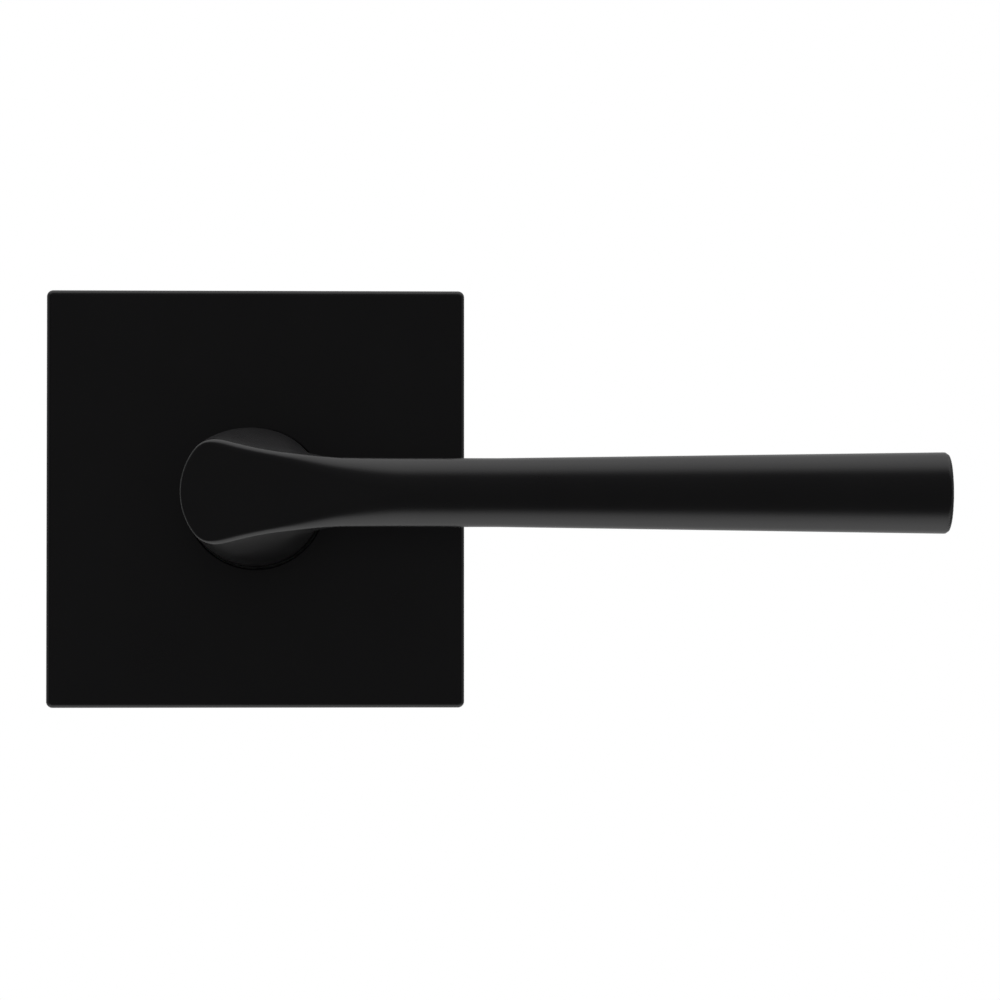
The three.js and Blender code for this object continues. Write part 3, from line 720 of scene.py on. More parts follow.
@dataclass
class LeverForm:
    """The lever's casting: a round neck, a flat fishtail face and a round arm that swells to its tip."""

    front: float = 57.6
    neck_top: float = 10.5
    neck_base: float = 10.8
    rose_front: float = 8.6
    back: float = 5.6
    tip: float = 105.0
    tip_round: float = 0.8
    waist: float = 5.17
    waist_at: float = 37.0
    tip_radius: float = 6.15
    flank_at_axis: float = 6.52
    flank_taper: float = 0.265
    flank_blend: float = 2.2
    edge_round: float = 1.2
    edge_from: float = 2.0
    edge_to: float = 24.0
    shoulder_slope: float = 0.2
    shoulder_from: float = 5.0
    shoulder_to: float = 14.0
    corner: float = 2.4
    rim: float = 0.5
    merge_from: float = 6.0
    merge_to: float = 14.0
    merge_swell: float = 0.35
    merge_most: float = 1.8
    arm_gives_way: float = 3.0
    neck_fillet: float = 2.8
    back_round: float = 0.3
    bore: float = 8.25
    bore_flat: float = 7.0
    bore_end: float = 31.3
    screw_hole: float = 2.7
    screw_at: float = 15.0
    first_cell: float = 0.8
    cell: float = 0.33
    settling_rounds: int = 6

    def distance(self, points: np.ndarray) -> np.ndarray:
        """How far points are outside the casting's surface, negative inside.

        Args:
            points: an array of (x, y, z) rows, in millimetres.

        Returns:
            One distance for each row, about true near the surface.
        """
        x, y, z = points.T
        depth = y + self.front
        side = np.abs(z)
        swell = (self.tip_radius - self.waist) * np.maximum(x - self.waist_at, 0) / (
            self.tip - self.waist_at
        )
        radius = self.waist + swell
        # The face ends along the flank. Its edge is crisp over the neck, and grows along the arm
        # until it is the arm's own round.
        flank = swell + soft_max(
            self.flank_at_axis - self.flank_taper * x, self.waist + 0 * x, self.flank_blend,
        )
        turn = self.edge_round + (radius - self.edge_round) * smooth_step(x, self.edge_from, self.edge_to)
        # Behind the edge the shoulder leans out to meet the neck.
        lean = self.shoulder_slope * (1 - smooth_step(x, self.shoulder_from, self.shoulder_to))
        wall = (side - flank - lean * depth) / np.hypot(1, lean)
        shoulder = round_corner(wall, -depth - swell, turn)
        grow = (self.neck_base - self.neck_top) / (self.front - self.rose_front)
        neck = np.hypot(x, z) - self.neck_top - grow * depth
        near_neck = 1 - smooth_step(x, self.merge_from, self.merge_to)
        swollen = flank + lean * self.waist + self.merge_swell * near_neck
        flare = np.minimum(swollen - radius, self.merge_most)
        below = depth - self.waist
        # In front of its axis the arm gives way to the flank, which bounds it there.
        arm = np.where(below < 0, side - self.arm_gives_way, np.hypot(below, z)) - radius - flare
        arm = np.maximum(arm, -x)
        body = soft_min(neck, arm, self.neck_fillet)
        body = soft_max(body, wall, self.corner * near_neck + HAIR)
        body = soft_max(body, shoulder, self.rim * near_neck + HAIR)
        body = round_corner(body, x - self.tip, self.tip_round)
        return round_corner(body, y + self.back, self.back_round)

    def outwards(self, points: np.ndarray) -> np.ndarray:
        """The way out of the surface at points near it.

        Args:
            points: an array of (x, y, z) rows, in millimetres.

        Returns:
            The distance's slope along each axis, one row for each point.
        """
        nudge = 1e-3
        slope = np.empty_like(points)
        for axis in range(3):
            shift = np.zeros(3)
            shift[axis] = nudge
            slope[:, axis] = self.distance(points + shift) - self.distance(points - shift)
        return slope / (2 * nudge)

    def settle(self, mesh: bmesh.types.BMesh, rounds: int) -> None:
        """Moves a mesh's vertices onto the casting's surface.

        Args:
            mesh: a mesh near the surface.
            rounds: how many times to correct.
        """
        least_slope = 0.05
        points = np.array([vert.co for vert in mesh.verts])
        for _ in range(rounds):
            slope = self.outwards(points)
            steep = np.maximum((slope * slope).sum(1), least_slope)
            points -= slope * (self.distance(points) / steep)[:, None]
        for vert, point in zip(mesh.verts, points, strict=True):
            vert.co = point

    def remeshed(self, mesh: bmesh.types.BMesh, cell: float) -> bmesh.types.BMesh:
        """An even net of four-sided faces over a mesh, settled onto the casting's surface.

        Args:
            mesh: the rough shape, in millimetres, which is freed.
            cell: the size of the new faces.

        Returns:
            The new mesh.
        """
        target = as_object(mesh)
        step = target.modifiers.new("net", "REMESH")
        step.mode = "VOXEL"
        step.voxel_size = cell
        net = finished(target)
        self.settle(net, self.settling_rounds)
        return net

    def build(self) -> bmesh.types.BMesh:
        """Builds the casting, with its bore and the hole for the set screw.

        Returns:
            The mesh, in millimetres.
        """
        rough = rod(self.neck_top, -self.front, -self.back, MIDDLE_ROUND)
        arm = rod(self.waist, 0, self.tip)
        place = Matrix.Translation((0, -self.front + self.waist, 0)) @ Matrix.Rotation(
            -math.pi / 2, 4, "Z"
        )
        moved(arm, place)
        joined = combine(rough, "UNION", arm)
        net = self.remeshed(self.remeshed(joined, self.first_cell), self.cell)
        bore = rod(self.bore, -self.bore_end, 1, MIDDLE_ROUND)
        wide = 2 * self.bore
        flats = block((-wide, -self.bore_end - 1, -self.bore_flat), (wide, 2, self.bore_flat))
        bore = combine(bore, "INTERSECT", flats)
        hole = moved(rod(self.screw_hole, 0, wide, SMALL_ROUND), Matrix.Rotation(-math.pi / 2, 4, "X"))
        moved(hole, Matrix.Translation((0, -self.screw_at, 0)))
        return combine(net, "DIFFERENCE", bore, hole, tidy=False)


# ------------------------------------------------------------------ sub-assemblies


@dataclass
class Lever:
    """The lever's casting.

    Its skin is what lies this near to the true surface, with faces that agree with it this well.
    """

    form: LeverForm = field(default_factory=LeverForm)
    skin: float = 0.03
    skin_agrees: float = 0.6

    def build(self) -> None:
        """Builds and dresses the casting."""
        mesh = self.form.build()
        made = piece("lever_casting", mesh, SATIN_BLACK_ENAMEL, LEVER_SIDE, "lever")
        made.data.shade_smooth()
        self.polish(made.data)

    def polish(self, data: bpy.types.Mesh) -> None:
        """Shades the casting by its true surface, and its bore and hole by their faces.

        Args:
            data: the casting's mesh, in metres.
        """
        places = np.empty(len(data.vertices) * 3)
        data.vertices.foreach_get("co", places)
        points = places.reshape(-1, 3) / MM
        out = self.form.outwards(points)
        out /= np.maximum(np.linalg.norm(out, axis=1), HAIR)[:, None]
        on_skin = np.abs(self.form.distance(points)) < self.skin
        corners = np.empty(len(data.loops), dtype=np.int32)
        data.loops.foreach_get("vertex_index", corners)
        counts = np.empty(len(data.polygons), dtype=np.int32)
        data.polygons.foreach_get("loop_total", counts)
        flat = np.empty(len(data.polygons) * 3)
        data.polygons.foreach_get("normal", flat)
        flat = np.repeat(flat.reshape(-1, 3), counts, axis=0)
        smooth = out[corners]
        use = on_skin[corners] & ((smooth * flat).sum(1) > self.skin_agrees)
        data.normals_split_custom_set(np.where(use[:, None], smooth, flat).tolist())


@dataclass
class Rose:
    """The square cover plate."""

    edge: float = 1.3
    corner: float = 1.0
    wall: float = 1.6
    hole: float = 11.2
    hole_edge: float = 0.25
    rib_half: float = 8.0
    rib_height: float = 0.5
    rib_root: float = 0.8
    rib_front: float = -1.6
    rib_back: float = -0.6
    on_front: float = 0.01

    def build(self) -> None:
        """Builds and dresses the cover."""
        span = Span.of("rose_cover")
        half = span.radius
        front = span.low.y
        mesh = pushed(square_outline(half, self.corner), front, span.high.y)
        soften(mesh, self.edge, 6, 60, lambda middle: middle.y < front + self.on_front)
        pocket = pushed(square_outline(half - self.wall, self.corner), front + self.wall, 1)
        hole = rod(self.hole, front - 1, 1, LARGE_ROUND)
        mesh = combine(mesh, "DIFFERENCE", pocket, hole)
        inner = half - self.wall
        for side in (-1, 1):
            z_low, z_high = sorted((side * (inner - self.rib_height), side * (inner + self.rib_root)))
            rib = block((-self.rib_half, self.rib_front, z_low), (self.rib_half, self.rib_back, z_high))
            mesh = combine(mesh, "UNION", rib)

        def at_hole(middle: Vector) -> bool:
            """Whether an edge lies on the front of the neck's hole."""
            on_face = middle.y < front + self.on_front
            return on_face and math.hypot(middle.x, middle.z) < self.hole + 0.05

        soften(mesh, self.hole_edge, 3, 60, at_hole)
        made = piece("rose_cover_plate", mesh, SATIN_BLACK_ENAMEL, DOOR_SIDE, "rose_cover")
        shade(made, 25)


@dataclass(frozen=True)
class Thread:
    """A screw thread along Y."""

    radius: float
    pitch: float
    depth_share: float = 0.54
    root_flat: float = 0.12
    crest_from: float = 0.44
    steps: int = 24
    clear: float = 0.2

    def rod(self, start: float, end: float, blunt: float) -> bmesh.types.BMesh:
        """A threaded rod with chamfered ends.

        Args:
            start: y of its first end.
            end: y of its other end.
            blunt: how far each end's chamfer reaches.

        Returns:
            The closed mesh.
        """
        root = self.radius - self.depth_share * self.pitch
        first = start - 2 * self.pitch
        turns = math.ceil((end - first) / self.pitch) + 2
        ridge = [
            (root, 0), (root, self.root_flat), (self.radius, self.crest_from),
            (self.radius, 1 - self.crest_from), (root, 1 - self.root_flat), (root, 1),
        ]
        mesh = bmesh.new()
        verts = [mesh.verts.new((radius, first + share * self.pitch, 0)) for radius, share in ridge]
        edges = [mesh.edges.new(pair) for pair in zip(verts, verts[1:])]
        bmesh.ops.spin(
            mesh, geom=[*verts, *edges], cent=(0, 0, 0), axis=(0, 1, 0),
            dvec=(0, self.pitch / self.steps, 0), angle=turns * TURN,
            steps=turns * self.steps, use_merge=False, use_normal_flip=False, use_duplicate=False,
        )
        bmesh.ops.remove_doubles(mesh, verts=mesh.verts, dist=1e-3)
        for at, outwards in ((start - self.pitch / 2, -1), (end + self.pitch / 2, 1)):
            cut = bmesh.ops.bisect_plane(
                mesh, geom=[*mesh.verts, *mesh.edges, *mesh.faces], dist=1e-5, plane_co=(0, at, 0),
                plane_no=(0, outwards, 0), clear_outer=True, clear_inner=False,
            )
            rim = of_kind(cut, "geom_cut", bmesh.types.BMEdge)
            bmesh.ops.edgeloop_fill(mesh, edges=rim)
        close(mesh)
        tip = self.radius - blunt
        wide = self.radius + self.clear
        slope = blunt + self.clear
        form = spun([
            (0, start), (tip, start), (wide, start + slope), (wide, end - slope), (tip, end), (0, end),
        ], 48)
        return combine(form, "INTERSECT", mesh)


def cross_recess(reach: float, width: float, top: float, bottom: float) -> list[bmesh.types.BMesh]:
    """The two tapered slots of a cross recess, open towards -Y.

    Args:
        reach: half the slots' length at the top.
        width: half their width.
        top: y of the recess's mouth.
        bottom: y of its floor.

    Returns:
        One mesh for each slot.
    """
    slots = []
    for turn in (0, math.pi / 2):
        slot = pushed([(-reach, -width), (reach, -width), (reach, width), (-reach, width)], top, bottom)
        for vert in slot.verts:
            if vert.co.y > (top + bottom) / 2:
                vert.co.x *= 0.35
                vert.co.z *= 0.8
        slots.append(moved(slot, Matrix.Rotation(turn, 4, "Y")))
    return slots


def pan_screw(
    thread: Thread, head_radius: float, head: float, reach: float, plain: float,
) -> bmesh.types.BMesh:
    """A pan-head screw along +Y with its head's seat at y = 0.

    Args:
        thread: the thread.
        head_radius: the head's radius.
        head: the head's height.
        reach: how far the tip is from the seat.
        plain: how much of the shank under the head has no thread.

    Returns:
        The closed mesh.
    """
    dome = rounded(
        [(0, -head), (head_radius * 0.8, -head), (head_radius, -head * 0.3), (head_radius, 0),
         (thread.radius * 0.93, 0), (thread.radius * 0.93, plain + 0.3), (0, plain + 0.3)],
        [0, head * 0.5, head * 0.3, 0.12, 0.1, 0.2, 0], 6,
    )
    shank = thread.rod(plain - 0.2, reach, thread.radius * 0.3)
    screw = combine(spun(dome, MIDDLE_ROUND), "UNION", shank)
    slots = cross_recess(head_radius * 0.58, head_radius * 0.13, -head - 0.2, -head * 0.3)
    return combine(screw, "DIFFERENCE", *slots)


@dataclass(frozen=True)
class Lugs:
    """The plate's lug and the driver's finger, which stand together between the spring's legs."""

    inner: float = 13.5
    outer: float = 15.45
    half_angle: float = 9.0

    def solid(self, front: float, back: float, short: float = 0.0) -> bmesh.types.BMesh:
        """One lug, below the spindle.

        Args:
            front: y of its front end.
            back: y of its back end.
            short: how far it stops short of the outer radius.

        Returns:
            The closed mesh.
        """
        sector = sector_outline(
            self.inner, self.outer - short, -90 - self.half_angle, -90 + self.half_angle,
        )
        return pushed(sector, front, back)


@dataclass(frozen=True)
class Ears:
    """The three places where the spring's case is screwed to the plate."""

    at: float = 19.55
    hole: float = 1.5
    count: int = 3

    def places(self) -> list[Matrix]:
        """Where the ears stand, from the top round."""
        return [
            Matrix.Translation(on_circle(self.at, 90 + 360 / self.count * i)) for i in range(self.count)
        ]


@dataclass
class Plate:
    """The mounting plate, the neck's bush, and the clips that hold the rose."""

    front: float = -3.0
    corner: float = 3.0
    edge: float = 0.45
    overlap: float = 0.5
    bore: float = 9.35
    barrel: float = 10.75
    barrel_back: float = 3.2
    boss_in: float = 13.7
    boss_out: float = 15.0
    boss_front: float = -5.4
    lugs: Lugs = Lugs()
    lug_back: float = 3.4
    screw_x: float = 20.5
    screw_hole: float = 2.7
    screw_seat: float = 4.9
    seat_y: float = -1.4
    wood_at: float = 23.5
    wood_hole: float = 2.1
    wood_sink: float = 3.6
    rivet_z: float = 25.55
    rivet_hole: float = 1.55
    ears: Ears = Ears()
    ear_depth: float = 0.6
    clip_half: float = 6.0
    clip_thick: float = 0.5
    clip_gap: float = 0.2
    clip_edge: float = 0.08
    notch_room: float = 0.3
    notch_depth: float = 1.2
    bush_bore: float = 11.15

    def build_plate(self) -> None:
        """Builds and dresses the plate."""
        half = Span.of("mounting_plate").radius
        front = self.front
        inside = front + self.overlap
        mesh = pushed(square_outline(half, self.corner), front, 0)
        soften(mesh, self.edge, 3, 60)
        boss = spun(rounded(
            [(self.boss_in, self.boss_front), (self.boss_out, self.boss_front),
             (self.boss_out + 0.3, inside), (self.boss_in, inside)], [0.3, 0.4, 0, 0],
        ), LARGE_ROUND)
        barrel = ring(self.bore - self.overlap, self.barrel, -1, self.barrel_back, [0, 0, 0.3, 0])
        lug = self.lugs.solid(-1, self.lug_back)
        soften(lug, 0.2, 2, 60, lambda middle: middle.y > 0)
        mesh = combine(mesh, "UNION", boss, barrel, lug)
        mesh = combine(mesh, "DIFFERENCE", *self.cuts(half))
        made = piece("mounting_plate_casting", mesh, RAW_CAST_ZINC, DOOR_SIDE, "mounting_plate")
        shade(made)

    def cuts(self, half: float) -> list[bmesh.types.BMesh]:
        """The plate's bore, screw holes, clip notches, rivet holes and ear holes.

        Args:
            half: half the plate's side.

        Returns:
            One mesh for each cut, which reaches past the plate at both ends.
        """
        past = self.front - 1
        cuts = [rod(self.bore, past, self.barrel_back + 1, LARGE_ROUND)]
        notch_half = self.clip_half + self.notch_room
        for side in (-1, 1):
            screw = Matrix.Translation((side * self.screw_x, 0, 0))
            cuts.append(moved(rod(self.screw_hole, self.front - 3, 1), screw))
            cuts.append(moved(rod(self.screw_seat, self.boss_front - 1, self.seat_y), screw))
            z_low, z_high = sorted((side * (half - self.notch_depth), side * (half + 1)))
            cuts.append(block((-notch_half, past, z_low), (notch_half, 1, z_high)))
            rivet = Matrix.Translation((0, 0, side * self.rivet_z))
            cuts.append(moved(rod(self.rivet_hole, past, 1), rivet))
            for up in (-1, 1):
                sink = spun([
                    (0, self.front - 0.5), (self.wood_sink + 0.5, self.front - 0.5),
                    (self.wood_hole, self.front + 1.5), (self.wood_hole, 1), (0, 1),
                ], 48)
                cuts.append(moved(sink, Matrix.Translation((side * self.wood_at, 0, up * self.wood_at))))
        for place in self.ears.places():
            cuts.append(moved(rod(self.ears.hole, self.front + self.ear_depth, 1, SMALL_ROUND), place))
        return cuts

    def build_bush(self) -> None:
        """Builds and dresses the nylon ring that the neck turns in."""
        span = Span.of("neck_bush")
        bush = ring(self.bush_bore, span.radius, span.low.y, span.high.y, [0.35, 0.35, 0.25, 0.25])
        shade(piece("neck_bush_ring", bush, NATURAL_NYLON, DOOR_SIDE, "neck_bush"))

    def build_clip(self, name: str, turn: float) -> None:
        """Builds and dresses one leaf clip and its rivet.

        Args:
            name: top or bottom.
            turn: how far the pair is turned about the spindle's axis, in radians.
        """
        span = Span.of("rose_clip_top")
        leg = self.front - self.clip_gap - self.clip_thick / 2
        edge = Span.of("mounting_plate").radius
        bow = span.high.z - self.clip_thick / 2
        line = rounded(
            [(span.low.z, leg), (edge - 0.6, leg), (bow - 0.05, leg + 0.45), (bow, -2.25),
             (bow - 0.7, -1.1), (edge - 0.4, -0.6)],
            [0, 0.5, 0.5, 0.4, 0.4, 0], 5,
        )
        mesh = bmesh.new()
        verts = [mesh.verts.new((-self.clip_half, y, z)) for z, y in line]
        edges = [mesh.edges.new(pair) for pair in zip(verts, verts[1:])]
        strip = bmesh.ops.extrude_edge_only(mesh, edges=edges)
        across = of_kind(strip, "geom", bmesh.types.BMVert)
        bmesh.ops.translate(mesh, vec=(2 * self.clip_half, 0, 0), verts=across)
        bmesh.ops.recalc_face_normals(mesh, faces=mesh.faces)
        bmesh.ops.solidify(mesh, geom=mesh.faces[:], thickness=self.clip_thick)
        bmesh.ops.recalc_face_normals(mesh, faces=mesh.faces)
        ends = (-self.clip_half, self.clip_half)
        corners = [
            crease for crease in mesh.edges
            if abs(crease.verts[0].co.x - crease.verts[1].co.x) < HAIR
            and any(abs(crease.verts[0].co.x - end) < HAIR for end in ends)
            and crease.calc_face_angle(0) > 1.2
        ]
        round_edges(mesh, corners, self.clip_edge, 2)
        hole = moved(rod(self.rivet_hole, -6, -2, SMALL_ROUND), Matrix.Translation((0, 0, self.rivet_z)))
        mesh = combine(mesh, "DIFFERENCE", hole)
        spin = Matrix.Rotation(turn, 4, "Y")
        shade(piece(
            f"leaf_clip_{name}", moved(mesh, spin), TEMPERED_SPRING_STEEL, DOOR_SIDE, f"rose_clip_{name}",
        ))
        rivet_span = Span.of("clip_rivet_top")
        seat = leg - self.clip_thick / 2 - self.clip_gap
        rivet = spun(rounded(
            [(0, rivet_span.low.y), (1.7, rivet_span.low.y), (2.3, seat - 0.35), (2.3, seat), (1.4, seat),
             (1.4, rivet_span.high.y), (0, rivet_span.high.y)],
            [0, 0.7, 0.25, 0.08, 0.05, 0.3, 0], 5,
        ), 48)
        place = spin @ Matrix.Translation((0, 0, self.rivet_z))
        shade(piece(
            f"rivet_{name}", moved(rivet, place), PLATED_TURNED_STEEL, DOOR_SIDE, f"clip_rivet_{name}",
        ))

    def build(self) -> None:
        """Builds the pieces in order."""
        self.build_plate()
        self.build_bush()
        self.build_clip("top", 0)
        self.build_clip("bottom", math.pi)


@dataclass
class Drive:
    """The drive tube, what it turns in, what holds it, and the spindle."""

    tube: float = 7.95
    flat: float = 6.7
    flange: float = 10.5
    flange_front: float = -5.3
    flange_back: float = -4.1
    socket_half: float = 4.25
    socket_front: float = -26.7
    driver_front: float = 7.4
    groove: float = 7.2
    bush_in: float = 8.3
    bush_out: float = 9.05
    bush_flange: float = 10.75
    bush_flange_thick: float = 0.85
    ring_gap: float = 22.0
    ring_room: float = 0.24
    ring_wide: float = 2.8
    eye: float = 1.75
    eye_hole: float = 0.6
    eye_turn: float = 7.0
    groove_room: float = 0.1
    wave_amp: float = 0.3

    def build_tube(self) -> None:
        """Builds and dresses the drive tube."""
        span = Span.of("drive_tube")
        clasp = Span.of("retaining_ring")
        groove_front = clasp.low.y - self.groove_room
        groove_back = clasp.high.y + self.groove_room
        profile = rounded(
            [(0, span.low.y), (self.tube, span.low.y), (self.tube, self.flange_front),
             (self.flange, self.flange_front), (self.flange, self.flange_back), (self.tube, self.flange_back),
             (self.tube, groove_front), (self.groove, groove_front), (self.groove, groove_back),
             (self.tube, groove_back), (self.tube, span.high.y), (0, span.high.y)],
            [0, 0.5, 0.15, 0.2, 0.2, 0.15, 0.08, 0.05, 0.05, 0.08, 0.25, 0], 4,
        )
        wide = 3 * self.tube
        cuts = []
        for low, high in ((span.low.y - 1, self.flange_front - 0.05), (self.driver_front, span.high.y + 1)):
            for side in (-1, 1):
                z_low, z_high = sorted((side * self.flat, side * wide))
                cuts.append(block((-wide, low, z_low), (wide, high, z_high)))
        half = self.socket_half
        cuts.append(block((-half, self.socket_front, -half), (half, span.high.y + 1, half)))
        mesh = combine(spun(profile, LARGE_ROUND), "DIFFERENCE", *cuts)
        shade(piece("drive_tube_turned", mesh, PLATED_TURNED_STEEL, LEVER_SIDE, "drive_tube"))

    def build_spindle(self) -> None:
        """Builds and dresses the square spindle."""
        span = Span.of("spindle")
        mesh = block(span.low, span.high)
        soften(mesh, 0.45, 3, 60, lambda middle: abs(middle.y - span.centre.y) < 1)
        soften(mesh, 0.7, 1, 60, lambda middle: abs(middle.y - span.centre.y) > 30)
        shade(piece("square_spindle", mesh, PLATED_DRAWN_STEEL, LEVER_SIDE, "spindle"))

    def build_rings(self) -> None:
        """Builds and dresses the bush, the washers and the retaining ring."""
        bush = Span.of("bearing_bush")
        flange_at = bush.high.y - self.bush_flange_thick
        sleeve = spun(rounded(
            [(self.bush_in, bush.low.y), (self.bush_out, bush.low.y), (self.bush_out, flange_at),
             (self.bush_flange, flange_at), (self.bush_flange, bush.high.y), (self.bush_in, bush.high.y)],
            [0.2, 0.15, 0.1, 0.15, 0.15, 0.2],
        ), LARGE_ROUND)
        shade(piece("bronze_bearing_bush", sleeve, SINTERED_BRONZE, DOOR_SIDE, "bearing_bush"))
        thrust = Span.of("thrust_washer")
        washer = ring(self.bush_in, thrust.radius, thrust.low.y, thrust.high.y, [0.12] * 4)
        shade(piece("nylon_thrust_washer", washer, NATURAL_NYLON, LEVER_SIDE, "thrust_washer"))
        wave = Span.of("wave_washer")
        spring = ring(self.bush_in, wave.radius, wave.low.y, wave.high.y, [0.1] * 4, 144)
        for vert in spring.verts:
            vert.co.y += self.wave_amp * math.sin(3 * math.atan2(vert.co.z, vert.co.x))
        shade(piece("wave_spring_washer", spring, TEMPERED_SPRING_STEEL, LEVER_SIDE, "wave_washer"))
        self.build_retaining_ring()

    def build_retaining_ring(self) -> None:
        """Builds and dresses the open ring, with a pierced lug at each end."""
        span = Span.of("retaining_ring")
        low, high = span.low.y, span.high.y
        inner = self.groove + self.ring_room
        outline = sector_outline(inner, inner + self.ring_wide, -90 + self.ring_gap, 270 - self.ring_gap)
        turn = self.ring_gap + self.eye_turn
        places = [Matrix.Translation(on_circle(inner + self.eye, -90 + side * turn)) for side in (-1, 1)]
        eyes = [moved(rod(self.eye, low, high, SMALL_ROUND), place) for place in places]
        holes = [moved(rod(self.eye_hole, low - 1, high + 1, 24), place) for place in places]
        mesh = combine(combine(pushed(outline, low, high), "UNION", *eyes), "DIFFERENCE", *holes)
        soften(mesh, 0.1, 2, 60)
        shade(piece("open_retaining_ring", mesh, TEMPERED_SPRING_STEEL, LEVER_SIDE, "retaining_ring"))

    def build(self) -> None:
        """Builds the pieces in order."""
        self.build_tube()
        self.build_spindle()
        self.build_rings()


@dataclass
class SpringCase:
    """The spring case, the return spring, its driver, the stop pin and the case's screws."""

    cup_in: float = 15.8
    cup: float = 17.0
    floor: float = 9.3
    hole: float = 8.65
    ear: float = 3.4
    ears: Ears = Ears()
    pin_hole: float = 1.15
    screw_thread: Thread = Thread(1.2, 0.5)
    screw_head_radius: float = 2.2
    screw_head: float = 1.5
    screw_plain: float = 0.4
    wall: float = 1.2
    gap: float = 0.3
    coil: float = 12.2
    wire: float = 0.7
    leg: float = 14.475
    turns: int = 3
    coil_start: float = 1.6
    coil_pitch: float = 1.6
    lugs: Lugs = Lugs()
    disc_thick: float = 1.4
    finger_overlap: float = 0.7
    notch: float = 51.75
    notch_depth: float = 1.35
    flat: float = 7.0
    tube_hole: float = 8.25

    def build_cup(self) -> None:
        """Builds and dresses the pressed case."""
        back = self.floor + self.wall
        shell = spun(rounded(
            [(self.cup_in, self.gap), (self.cup, self.gap), (self.cup, back), (self.hole, back),
             (self.hole, self.floor), (self.cup_in, self.floor)], [0.2, 0.2, 1.6, 0.3, 0.2, 0.5], 6,
        ), LARGE_ROUND)
        ears = []
        pin = Matrix.Translation((0, 0, self.leg))
        holes = [moved(rod(self.pin_hole, self.floor - 1, back + 1, SMALL_ROUND), pin)]
        for place in self.ears.places():
            disc = rod(self.ear, self.gap, self.gap + self.wall)
            soften(disc, 0.2, 2, 60)
            ears.append(moved(disc, place))
            holes.append(moved(rod(self.ears.hole, -1, 4, SMALL_ROUND), place))
        inside = rod(self.cup_in, -1, self.floor - 0.6, LARGE_ROUND)
        mesh = combine(combine(shell, "UNION", *ears), "DIFFERENCE", inside, *holes)
        shade(piece("pressed_spring_case", mesh, PLATED_PRESSED_STEEL, DOOR_SIDE, "spring_cup"))

    def build_screws(self) -> None:
        """Builds and dresses the three screws that hold the case."""
        about = Matrix.Rotation(math.pi, 4, "X")
        for number in range(1, self.ears.count + 1):
            node = f"cup_screw_{number}"
            span = Span.of(node)
            seat = span.high.y - self.screw_head
            screw = pan_screw(
                self.screw_thread, self.screw_head_radius, self.screw_head, seat - span.low.y,
                self.screw_plain,
            )
            moved(screw, Matrix.Translation((span.centre.x, seat, span.centre.z)) @ about)
            shade(piece(f"case_screw_{number}", screw, PLATED_TURNED_STEEL, DOOR_SIDE, node))

    def spring_points(self) -> list[Vector]:
        """The wire's middle line: a leg along the lugs, the coil and the other leg."""
        reach = self.lugs.half_angle + math.degrees((self.gap + self.wire) / self.leg)
        end = self.coil_start + self.turns * self.coil_pitch
        sweep = self.turns * 360 + 2 * reach
        run = end - self.coil_start - 1
        points = []
        for share in (1.0, 0.66, 0.33):
            at = on_circle(self.leg, -90 + reach)
            points.append(at + Vector((0, self.coil_start + run * share, 0)))
        steps = 32 * self.turns
        for k in range(steps + 1):
            share = k / steps
            at = on_circle(self.coil, -90 + reach - sweep * share)
            points.append(at + Vector((0, self.coil_start + (end - self.coil_start) * share, 0)))
        for share in (0.33, 0.66, 1.0):
            at = on_circle(self.leg, -90 - reach)
            points.append(at + Vector((0, end - run * share, 0)))
        return points

    def build_spring(self) -> None:
        """Builds and dresses the torsion spring."""
        line = bpy.data.curves.new("wire", "CURVE")
        line.dimensions = "3D"
        line.bevel_depth = self.wire
        line.bevel_resolution = 4
        line.use_fill_caps = True
        line.resolution_u = 3
        spline = line.splines.new("NURBS")
        points = self.spring_points()
        spline.points.add(len(points) - 1)
        for knot, point in zip(spline.points, points, strict=True):
            knot.co = (*point, 1)
        spline.use_endpoint_u = True
        spline.order_u = 4
        target = in_scene("wire", line)
        mesh = bmesh.new()
        mesh.from_mesh(target.evaluated_get(bpy.context.evaluated_depsgraph_get()).to_mesh())
        bpy.data.objects.remove(target)
        bpy.data.curves.remove(line)
        close(mesh)
        shade(piece("torsion_spring", mesh, TEMPERED_SPRING_STEEL, DOOR_SIDE, "return_spring"))

    def build_driver(self) -> None:
        """Builds and dresses the disc that winds the spring, and the stop pin."""
        span = Span.of("spring_driver")
        front = span.high.y - self.disc_thick
        disc = rod(self.lugs.outer, front, span.high.y, LARGE_ROUND)
        reach = self.leg - self.notch_depth
        notch = pushed(
            sector_outline(reach, self.lugs.outer + 1, 90 - self.notch, 90 + self.notch),
            front - 1, span.high.y + 1,
        )
        hole = rod(self.tube_hole, front - 1, span.high.y + 1, 96)
        wide = 2 * self.cup
        flats = block((-wide, front - 2, -self.flat), (wide, span.high.y + 2, self.flat))
        key = combine(hole, "INTERSECT", flats)
        mesh = combine(disc, "DIFFERENCE", notch, key)
        finger = self.lugs.solid(span.low.y, front + self.finger_overlap, 0.01)
        mesh = combine(mesh, "UNION", finger)
        soften(mesh, 0.15, 2, 60)
        shade(piece("spring_winding_disc", mesh, PLATED_PRESSED_STEEL, LEVER_SIDE, "spring_driver"))
        pin_span = Span.of("stop_pin")
        pin = spun(rounded(
            [(0, pin_span.low.y), (1, pin_span.low.y), (1, pin_span.high.y), (0, pin_span.high.y)],
            [0, 0.3, 0.3, 0],
        ), 48)
        place = Matrix.Translation((0, 0, self.leg))
        shade(piece("dowel_stop_pin", moved(pin, place), PLATED_TURNED_STEEL, DOOR_SIDE, "stop_pin"))

    def build(self) -> None:
        """Builds the pieces in order."""
        self.build_cup()
        self.build_screws()
        self.build_spring()
        self.build_driver()


